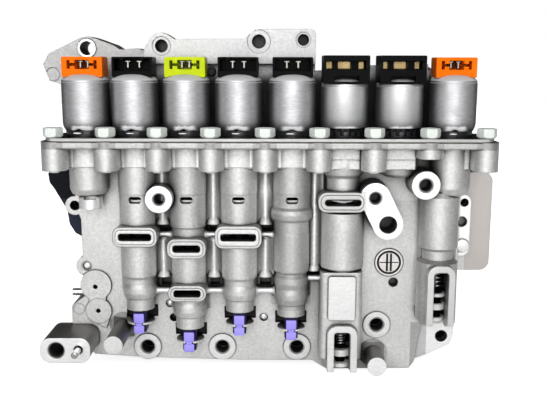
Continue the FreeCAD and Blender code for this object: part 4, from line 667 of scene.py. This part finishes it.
ground = plain_metal("ground_steel", (0.80, 0.80, 0.81))
dull = plain_metal("dull_steel", (0.50, 0.49, 0.48))
bright = plain_metal("ball_steel", (0.95, 0.95, 0.95), metallic=0.45, gloss=(0.2, 0.3), dark=0.0)
dowel_rows = pin_rows(0.0020, back=-0.0420, front=-0.0760, lead=0.0007)
dowel = skin("dowel_rod", [turned_about_y(dowel_rows, -0.1130, -0.1255)], dull)
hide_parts("dowel_pin")
locating_rows = pin_rows(0.0039, back=-0.0310, front=-0.0378, lead=0.0005)
locating = skin("locating_rod", [turned_about_y(locating_rows, 0.1180, -0.0684)], bright)
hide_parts("locating_pin")
for pin in (dowel, locating):
    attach(pin, "housing")
wear(ground, "spring_pin")
wear(bright, "check_balls")


# The plugs are turned from bar and pressed in: the slotted plug of the floor, the notched plug under column
# 1 and the end plugs of the four window bores. Rings run round them from the tool.
AROUND_Z = (1.0, 1.0, 12.0)
turned_alloy = plain_metal(
    "turned_alloy", (0.86, 0.86, 0.85), metallic=0.8, lines=AROUND_Z, dark=0.97, reach=0.0035, open_share=0.7
)
wear(turned_alloy, "bore_1_plug", "bore_plugs")
SLOTTED_PLUG = (0.0728, -0.0783)
# Painted shade on the slotted plug: two dark rings where its grooves lie, and black on what lies below the
# floor.
TOOL_RINGS = [(0.0061, 0.0074), (0.0084, 0.0090)]
slotted = plain_metal(
    "slotted_alloy", (0.74, 0.72, 0.70), metallic=0.7, dark=0.9, reach=0.0012, open_share=0.9, deep=-0.0401,
    rings=(SLOTTED_PLUG, TOOL_RINGS),
)
wear(slotted, "slotted_plug")


# The valves are hard-anodised aluminium spools that slide in their bores, and the manual valve is a spool of
# the same kind, moved along X by the selector. Only narrow bands of the spools are white, a painted
# highlight;
# the rest of them is painted black, as painted shade.
SPRUNG = (2, 3, 4, 5, 6, 8)
SPOOL_GLINT_BANDS = [(-0.0400, -0.0380), (-0.1192, -0.1160)]
WHITE = (1.0, 1.0, 1.0)
spool_glint = plain_metal(
    "spool_alloy", WHITE, metallic=0.0, gloss=(0.3, 0.4), lines=AROUND_Z, dark=0.0, lit_bands=SPOOL_GLINT_BANDS
)
wear(spool_glint, *[f"spool_{number}" for number in SPRUNG])
wear(plain_metal("anodised_alloy", (0.40, 0.40, 0.39), lines=(12.0, 1.0, 1.0)), "manual_valve")


# Each spring is coiled from round wire, with its end coils closed, and stands on the plug or seat of its
# bore. It is pressed together as its spool comes down.
def coil_shell(x, y, low, high):
    """Wire of radius w about a helix of radius 4.2 mm: at turn t and section angle a the point lies at the
    distance 4.2 mm + w cos a from the axis and at the height z(t) + w sin a. z is the running sum of a pitch
    that grows over 0.8 turn from the closed coil at each end to the open coils between."""
    coil_radius, wire, steps, ease = 0.0042, 0.00055, 40, 0.8
    turns = 6.0 if high - low > 0.014 else 5.0
    t = np.linspace(0.0, turns, int(turns * steps) + 1)
    near = np.clip(np.minimum(t, turns - t) / ease, 0.0, 1.0)
    rise = high - low - 2.0 * wire
    closed = min(1.0, 2.1 * wire / (1.06 * rise / turns))
    pitch = closed + (1.0 - closed) * near ** 2 * (3.0 - 2.0 * near)
    climb = np.concatenate([[0.0], np.cumsum((pitch[1:] + pitch[:-1]) / 2.0)])
    z = (low + wire + rise * climb / climb[-1])[:, None]
    a = np.linspace(0.0, 2.0 * np.pi, 12, endpoint=False)[None, :]
    away = coil_radius + wire * np.cos(a)
    turn = 2.0 * np.pi * t[:, None]
    return np.stack([x + away * np.cos(turn), y + away * np.sin(turn), z + wire * np.sin(a)], axis=-1)


drawn_wire = plain_metal("spring_wire", (0.34, 0.34, 0.33), gloss=(0.15, 0.25))
for number in SPRUNG:
    foot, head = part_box(f"spring_{number}")
    middle_x, middle_y = (foot[0] + head[0]) / 2, (foot[1] + head[1]) / 2
    coil = skin(f"coil_spring_{number}", [coil_shell(middle_x, middle_y, foot[2], head[2])], drawn_wire, 1.2)
    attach(coil, "housing")
    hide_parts(f"spring_{number}")
    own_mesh(coil)


# The seats of valves 6 and 8 are turned from aluminium bar, with bright collars on a stem that is painted
# black, as painted shade in the bore. They are pushed into their bores from below and stop at a seating disc.
def turned_about_z(rows, x, columns=96, notch=None):
    """Rows of (radius, height) turned about the bore axis at x. A notch of (angle, width, rise, span) lifts
    the point at angle a and at z above the lowest row by rise exp(-((a - angle) / width)^2) times
    max(0, 1 - z / span)^1.5."""
    a = np.linspace(-np.pi, np.pi, columns, endpoint=False)
    radius, height = np.array(rows).T[:, :, None]
    z = height + 0.0 * a
    if notch is not None:
        angle, width, rise, span = notch
        lift = rise * np.exp(-(((a - angle) / width) ** 2))
        z += lift * np.clip(1.0 - (z - height.min()) / span, 0.0, None) ** 1.5
    return np.stack([x + radius * np.cos(a), AXIS_Y + radius * np.sin(a), z], axis=-1)


MM = 0.001
STEM, BREAK = 3.0, 0.15


def collared(x, disc, top, foot, collars):
    """A stem from a seating disc at top down to foot, with a collar for each row of radius, upper and lower
    level; each shoulder is broken by 0.15 mm. The numbers but x are in millimetres."""
    rows = [(disc - 0.3, top), (disc, top - 0.3), (disc, top - 0.9), (STEM, top - 1.1)]
    for radius, high, low in collars:
        rows += [(STEM, high + BREAK), (radius - BREAK, high), (radius, high - BREAK)]
        rows += [(radius, low + BREAK), (radius - BREAK, low), (STEM, low - BREAK)]
    rows += [(STEM, foot)]
    return turned_about_z([(radius * MM, level * MM) for radius, level in rows], x, 48)


SEAT_LIT_BANDS = [(-0.1346, -0.1303), (-0.1425, -0.1391), (-0.0970, -0.0949), (-0.1051, -0.1013), (-0.1130, -0.1101)]
COLLARS_6 = [(6.45, -130.5, -134.5), (5.6, -139.3, -141.7)]
COLLARS_8 = [(5.85, -95.0, -96.9), (5.85, -101.4, -105.0), (5.2, -110.2, -112.2)]
shaded_seat = plain_metal("shaded_seat_alloy", (0.84, 0.84, 0.82), metallic=0.3, gloss=(0.3, 0.4), lit_bands=SEAT_LIT_BANDS, dark=0.0)
seat_6 = collared(0.0433, disc=6.5, top=-128.0, foot=-142.0, collars=COLLARS_6)
seat_8 = collared(0.1009, disc=5.9, top=-92.0, foot=-112.4, collars=COLLARS_8)
seats = skin("valve_seats", [seat_6, seat_8], shaded_seat, 0.5)
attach(seats, "housing")
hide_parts("lower_seat_6", "lower_seat_8")


# The retainer keys are moulded in violet nylon. Each is pushed through a window from the front: a head over
# the lip, a neck in the slot of the lip and a foot under it, with both sides set back behind a front spine.
def moulded(name, tone, gloss=(0.35, 0.5), back=None, glint=0.3, zones=()):
    """Moulded plastic or rubber: a faint spark-eroded grain, cloudy tone, rounded edges and painted shade in
    its corners. With back, a pair of a depth and a tone, what lies behind that depth takes that tone, as it
    gets no light."""
    material, n = blank(name)
    grain = n.noise(2600.0, 2.0, 0.5)
    clouds = n.noise(90.0, 3.0, 0.6)
    place = n.place()
    colour = n.paint(place, n.mix(n.range(clouds, 0.3, 0.7), *pair(tone, 0.94, 1.05, lift=0.001)), zones)
    if back is not None:
        depth, unlit = back
        colour = n.mix(n.range(place["Y"], depth - 0.0004, depth + 0.0004), colour, unlit)
    colour = n.mix(n.range(n.open_share(0.003), 0.55, 0.15, 0.0, 0.6), colour, [c * 0.45 for c in tone])
    relief = n.relief(grain, 0.2, 0.0001, edge=0.0003)
    rough = n.range(clouds, 0.3, 0.7, *gloss)
    n.surface(Base_Color=colour, Roughness=rough, Normal=relief, Specular_IOR_Level=glint)
    return material


def rounded_outline(corners, radius):
    """A closed outline with its corners rounded: between the points at radius before and after a corner C
    runs the curve (1-u)^2 A + 2u(1-u) C + u^2 B."""
    corners = np.array(corners)
    before, after = np.roll(corners, 1, axis=0) - corners, np.roll(corners, -1, axis=0) - corners
    first = corners + radius * before / np.linalg.norm(before, axis=1, keepdims=True)
    last = corners + radius * after / np.linalg.norm(after, axis=1, keepdims=True)
    u = np.linspace(0.0, 1.0, 4)[None, :, None]
    curve = (1 - u) ** 2 * first[:, None] + 2 * u * (1 - u) * corners[:, None] + u ** 2 * last[:, None]
    return curve.reshape(-1, 2)


# The outline of a key in millimetres, right half from the back to the spine, and its levels under the window.
KEY_HALF = [(4.0, -42.0), (4.0, -51.5), (3.05, -51.5), (3.05, -55.0)]
HEAD, HEAD_END, FOOT, FOOT_END = 1.5, 7.45, 8.9, 13.9
UNCUT = (9.0, -41.0)
NECK = (1.75, -46.8)


def key_shell(x, window):
    """The outline of the head, drawn in by inset(z) towards the middle of the key, and held within
    |x| <= half(z) and y <= back(z), so that the head narrows to the neck and widens again to the foot."""
    middle = -48.5
    outline = rounded_outline(KEY_HALF + [(-across, deep) for across, deep in reversed(KEY_HALF)], 0.35)
    rows = []
    for top, bottom in ((-window - HEAD, -window - HEAD_END), (-window - FOOT, -window - FOOT_END)):
        rows += [(top, *UNCUT, 0.45), (top - 0.12, *UNCUT, 0.2), (top - 0.45, *UNCUT, 0.0)]
        rows += [(bottom + 0.45, *UNCUT, 0.0), (bottom + 0.12, *UNCUT, 0.2), (bottom, *UNCUT, 0.45)]
    rows[6:6] = [(-window - HEAD_END - 0.02, *NECK, 0.0), (-window - FOOT + 0.02, *NECK, 0.0)]
    level, half, back, inset = np.array(rows).T[:, :, None]
    xs = np.clip(outline[:, 0] * (1.0 - inset / 4.0), -half, half)
    ys = np.clip(middle + (outline[:, 1] - middle) * (1.0 - inset / 6.5), None, back)
    return np.stack([x + xs * MM, ys * MM, (level + 0.0 * xs) * MM], axis=-1)


violet = moulded("violet_resin", (0.34, 0.29, 0.84), back=(-0.0545, (0.010, 0.010, 0.06)), glint=0.15)
keys = skin("violet_keys", [key_shell(x, 1000.0 * w) for x, w in WINDOWS], violet, 0.9)
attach(keys, "housing")
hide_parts("retainer_keys")


# Each solenoid is a turned nose with two O-rings, pressed into its pocket, and a copper coil over it.
# The noses are blackened, and their flange shows between the can and the bracket.
blackened = plain_metal("blackened_steel", (0.020, 0.020, 0.022), metallic=0.2, gloss=(0.14, 0.2))
wear(blackened, *[f"solenoid_{number}_nose" for number in range(1, 9)])
wear(plain_metal("copper", (0.75, 0.40, 0.22)), "solenoid_coils")
rubber = moulded("ring_rubber", (0.02, 0.02, 0.02), gloss=(0.5, 0.65))
wear(rubber, "solenoid_o_rings", "rubber_stop")


# The cans are drawn from sheet steel and brushed round. A fine step runs round under the dome; the lower edge
# is rolled in under the coil and has a notch at the front. The two switching cans end straight, higher up.
def can_rows(top, rolled):
    """The wall of a can from the top of its dome round its lower edge to the inside of the top. The dome is
    z = top - 3.8 mm (r / R)^4.5; the wall rolls in by a quarter of an ellipse 3.0 mm wide and 6.1 mm high."""
    outer, sheet, step = 0.0137, 0.0014, 0.00022
    inner = outer - sheet
    share = np.linspace(0.03, 0.97, 26)
    rows = list(zip(outer * share, top - 0.0038 * share ** 4.5))
    rows += [(outer - step, top - 0.0036), (outer - step, top - 0.0046), (outer, top - 0.0049)]
    if rolled:
        turn = np.linspace(0.0, np.pi / 2, 16)
        rows += list(zip(outer - 0.0030 * (1.0 - np.cos(turn)), 0.0084 - 0.0061 * np.sin(turn)))
        rows += [(0.0092, 0.0022), (0.0090, 0.0025), (0.0090, 0.0040)]
    else:
        rows += [(outer, 0.0056), (outer - 0.0004, 0.0050), (outer - 0.0012, 0.0048), (inner, 0.0052)]
    rows += [(inner, 0.0086), (inner, top - 0.0052), (outer - 0.0040, top - 0.0036), (0.0006, top - 0.0018)]
    return rows


SWITCH_CANS = ((0.029, -0.0620, 0.004), (0.0895, -0.0300, 0.0315), (0.90, 0.90, 0.90), 0.45)
HEM_SHADE = (0.02, 0.02, 0.022)
FLANK_SHADE = (0.05, 0.05, 0.052)
DEEP_SHADOW = (0.01, 0.01, 0.01)


def brushed_can():
    """Drawn steel, brushed round: streaks along the turning direction, flanks painted dark as a painted
    reflection of the dark studio, painted shade on the rolled edge towards its hem and in corners, and a
    painted highlight, a bright lip over the notch."""
    material, n = blank("brushed_can")
    place, facing = n.place(), n.facing("Normal")
    streaks = n.noise(2600.0, 2.0, 0.5, (0.12, 0.12, 1.0))
    broad = n.noise(420.0, 2.0, 0.5, (0.10, 0.10, 1.0))
    smudges = n.noise(120.0, 4.0, 0.65)
    colour = n.mix(n.range(streaks, 0.3, 0.7), (0.48, 0.48, 0.49), (0.59, 0.59, 0.60))
    colour = n.mix(n.range(smudges, 0.45, 0.75, 0.0, 0.30), colour, (0.32, 0.32, 0.33))
    colour = n.paint(place, colour, [SWITCH_CANS])
    side = n.math("ABSOLUTE", facing["X"])
    # Painted reflection: the flanks darken as they turn away.
    colour = n.mix(n.range(side, 0.60, 0.97, 0.0, 0.78), colour, FLANK_SHADE)
    dome = n.range(facing["Z"], 0.10, 0.45)
    colour = n.mix(dome, colour, (0.50, 0.50, 0.51))
    # Painted shade on the front of the rolled edge, towards the hem.
    lower = n.range(place["Z"], 0.0025, 0.0110, 0.62, 0.0)
    colour = n.mix(n.times(lower, n.math("LESS_THAN", place["Y"], AXIS_Y)), colour, HEM_SHADE)
    colour = n.mix(n.range(n.open_share(0.004), 0.45, 0.10, 0.0, 0.80), colour, DEEP_SHADOW)
    # Painted highlight: a bright band over the notch, less metallic.
    wobble = n.times(n.noise(420.0, 1.0, 0.5, (1.0, 1.0, 0.1)), 0.0016)
    wave = n.math("ADD", place["Z"], wobble)
    lip = n.times(n.range(wave, 0.0040, 0.0048), n.range(wave, 0.0064, 0.0074, 1.0, 0.0))
    lip = n.times(lip, n.range(side, 0.30, 0.55, 1.0, 0.0))
    colour = n.mix(lip, colour, (0.85, 0.85, 0.85))
    metallic = n.math("SUBTRACT", 0.92, n.times(n.math("MAXIMUM", dome, lip), 0.85))
    relief = n.relief(n.math("ADD", streaks, broad), 0.35, 0.0001, edge=0.0003)
    gloss = n.range(smudges, 0.3, 0.7, 0.46, 0.56)
    n.surface(Base_Color=colour, Metallic=metallic, Roughness=gloss, Normal=relief)
    return material


SWITCHING = (6, 7)
brushed = brushed_can()
for number, x in enumerate(STATIONS, start=1):
    switching = number in SWITCHING
    notch = (-1.75 if number == 1 else -1.62, 0.20, 0.0020, 0.0034)
    rows = can_rows(0.0334 if switching else 0.0354, rolled=not switching)
    drawn = skin(f"can_{number}", [turned_about_z(rows, x, notch=None if switching else notch)], brushed)
    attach(drawn, "housing")
    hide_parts(f"solenoid_{number}_can")


# Under the notch of each can that is rolled in, a small white lens sits on the nose: a painted highlight on
# the nose's flange, shaped as a flat lens.
def highlight_lens(x):
    """A lens: at height share v and angle a, (x + 3.3 mm c cos a, -57.0 mm + 1.1 mm c sin a,
    1.75 mm + 0.6 mm v), where c = sqrt(1 - v^2)."""
    v = np.linspace(-0.98, 0.98, 9)
    a = np.linspace(0.0, 2.0 * np.pi, 24, endpoint=False)
    c = np.sqrt(1.0 - v ** 2)[:, None]
    return stacked(x + 0.0033 * c * np.cos(a), -0.0570 + 0.0011 * c * np.sin(a), 0.00175 + 0.0006 * v)


FIRST_SHIFT, SHIFT = 0.0022, 0.0006
turned_in = [x - SHIFT for number, x in enumerate(STATIONS, start=1) if number not in SWITCHING]
turned_in[0] = STATIONS[0] - FIRST_SHIFT
lens = plain_metal("nose_highlight_steel", WHITE, metallic=0.1, gloss=(0.3, 0.4), dark=0.0)
highlight_lenses = skin("nose_highlights", [highlight_lens(x) for x in turned_in], lens, 0.9)
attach(highlight_lenses, "housing")


# A glossy black collar closes each of the two switching cans from below, with teeth that the can grips.
# It is moulded resin and sits round the nose.
def collar(x):
    """Rows of (radius, height) turned about the bore axis, where the radius of the toothed rows is
    r + 0.25 mm cos(18 a)."""
    rows = [(0.0092, 0.0003), (0.0116, 0.0003), (0.0120, 0.0007), (0.0120, 0.0030), (0.0117, 0.0034)]
    rows += [(0.0117, 0.0060), (0.0092, 0.0060)]
    grid = turned_about_z(rows, x, 144)
    a = np.arctan2(grid[..., 1] - AXIS_Y, grid[..., 0] - x)
    toothed = np.array([0.0, 1.0, 1.0, 1.0, 1.0, 0.0, 0.0])[:, None]
    tooth = toothed * 0.00025 * np.cos(18.0 * a)
    grid[..., 0] += tooth * np.cos(a)
    grid[..., 1] += tooth * np.sin(a)
    return grid


gloss_resin = moulded("gloss_resin", (0.004, 0.004, 0.005), (0.15, 0.25), glint=0.15)
collars = skin("switch_collars", [collar(STATIONS[number - 1]) for number in SWITCHING], gloss_resin)
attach(collars, "housing")


# The connectors are moulded over the tops of the cans, with the contacts on the rear wall of each socket.
# Orange, black and lime tell the solenoids apart; the contacts are tinned, and tan plates in the switches.
def socket_zone(x):
    """The unlit room inside a socket, behind its rim."""
    return (x - 0.0034, -0.0510, 0.0386), (x + 0.0034, -0.0360, 0.0426), (0.020, 0.010, 0.004), 0.90


INSIDE = [socket_zone(x) for x in STATIONS]
orange = moulded("orange_resin", (0.86, 0.155, 0.0), glint=0.05, zones=INSIDE)
wear(orange, "solenoid_1_connector", "solenoid_8_connector")
wear(moulded("lime_resin", (0.50, 0.61, 0.004), glint=0.08, zones=INSIDE), "solenoid_3_connector")
black = moulded("black_resin", (0.0022, 0.0022, 0.0026), gloss=(0.3, 0.42), glint=0.035)
wear(black, *[f"solenoid_{number}_connector" for number in (2, 4, 5, 6, 7)])
TAN = [((0.0300, -0.0700, 0.0300), (0.0890, -0.0300, 0.0480), (0.30, 0.22, 0.10), 1.0)]
wear(plain_metal("tin", (0.34, 0.33, 0.29), metallic=0.8, dark=0.3, zones=TAN), "solenoid_terminals")


# The bracket is a steel bar, sheared bright along its front edge; what faces up is near black, for its black
# oxide skin and as painted shade from the dark studio above. It clamps the solenoids down and is held by nine
# zinc-plated bolts, which stand on it.
OXIDE_AND_SHADE = (0.006, 0.006, 0.006)
sheared = plain_metal(
    "bracket_steel", (0.40, 0.40, 0.39), metallic=0.9, gloss=(0.4, 0.5), lines=ALONG_X, top=OXIDE_AND_SHADE
)
wear(sheared, "solenoid_bracket")


def bolt_shell(x, length):
    """At angle a, the head has the radius min(5 mm / cos((a mod 60) - 30), limit(z)), where limit(z) is the
    chamfer at both ends of the head; the shank is round and closed by a chamfer."""
    flat, shank, axis_y = 0.005, 0.0030, -0.064
    a = np.radians(np.arange(0.0, 360.0, 5.0))
    hexagon = flat / np.cos(np.mod(a, np.pi / 3) - np.pi / 6)
    rows = [(-length, 0.0024), (-length + 0.0006, shank), (-0.0001, shank), (0.0, 0.0046), (0.0005, 0.0047)]
    rows += [(0.00052, 0.0052), (0.0012, 0.0059), (0.0050, 0.0059), (0.0056, 0.0053)]
    rows += [(0.0056, 0.0036), (0.0054, 0.0032)]
    z, limit = np.array(rows).T
    radius = np.minimum(hexagon[None, :], limit[:, None])
    return stacked(x + radius * np.cos(a), axis_y + radius * np.sin(a), z)


LENGTHS = [0.020] * 7 + [0.011, 0.020]
zinc = plain_metal("zinc_plate", (0.70, 0.74, 0.70), metallic=0.15, gloss=(0.5, 0.6), dark=0.6)
heads = skin("zinc_bolts", [bolt_shell(x, length) for x, length in zip(BOLTS, LENGTHS)], zinc, 0.35)
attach(heads, "housing")
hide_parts("bracket_bolts")


# Six bolts of oiled steel join the castings from behind. A cover moulded in black resin is pressed over the
# left flank of the rear casting; a band of it is painted navy, a painted sheen where the light grazes it.
wear(plain_metal("oiled_steel", (0.30, 0.30, 0.31)), "body_bolts")
GRAZING_SHEEN = [((-0.1450, -0.0600, -0.0680), (-0.1180, 0.0010, -0.0420), (0.022, 0.028, 0.048), 0.85)]
wear(moulded("cover_resin", (0.004, 0.005, 0.008), gloss=(0.5, 0.65), glint=0.1, zones=GRAZING_SHEEN), "side_cover")


# The floor is a plain pale sheet just under the part, which carries its shadow. To the camera it glows up to
# white away from the part; every other ray meets matt paper.
FLOOR_GAP, HALF_SIDE = 0.0005, 3.0
NEAR, FAR = 0.20, 0.42
square = HALF_SIDE * np.array([(-1, -1), (1, -1), (1, 1), (-1, 1)])
corners = np.column_stack([square, np.full(4, cad_low.z - FLOOR_GAP)])
sheet_mesh = bpy.data.meshes.new("studio_floor")
sheet_mesh.from_pydata(corners.tolist(), [], [(0, 1, 2, 3)])
floor = bpy.data.objects.new("studio_floor", sheet_mesh)
bpy.context.scene.collection.objects.link(floor)
paper, n = blank("studio_paper")
path = n.add("ShaderNodeLightPath").outputs
place = n.add("ShaderNodeTexCoord").outputs["Object"]
from_middle = n.add("ShaderNodeVectorMath", {0: place}, operation="LENGTH").outputs["Value"]
glow = n.range(from_middle, NEAR, FAR, 0.80, 1.0)
matt = n.add("ShaderNodeBsdfDiffuse", {"Color": (0.9, 0.9, 0.9, 1.0)})
light = n.add("ShaderNodeEmission", {"Color": (1.0, 1.0, 1.0, 1.0), "Strength": glow})
both = n.add("ShaderNodeAddShader", {0: matt, 1: light})
seen = n.math("MAXIMUM", path["Is Camera Ray"], path["Is Transmission Ray"])
choice = n.add("ShaderNodeMixShader", {0: seen, 1: matt, 2: both})
n.add("ShaderNodeOutputMaterial", {"Surface": choice})
sheet_mesh.materials.append(paper)
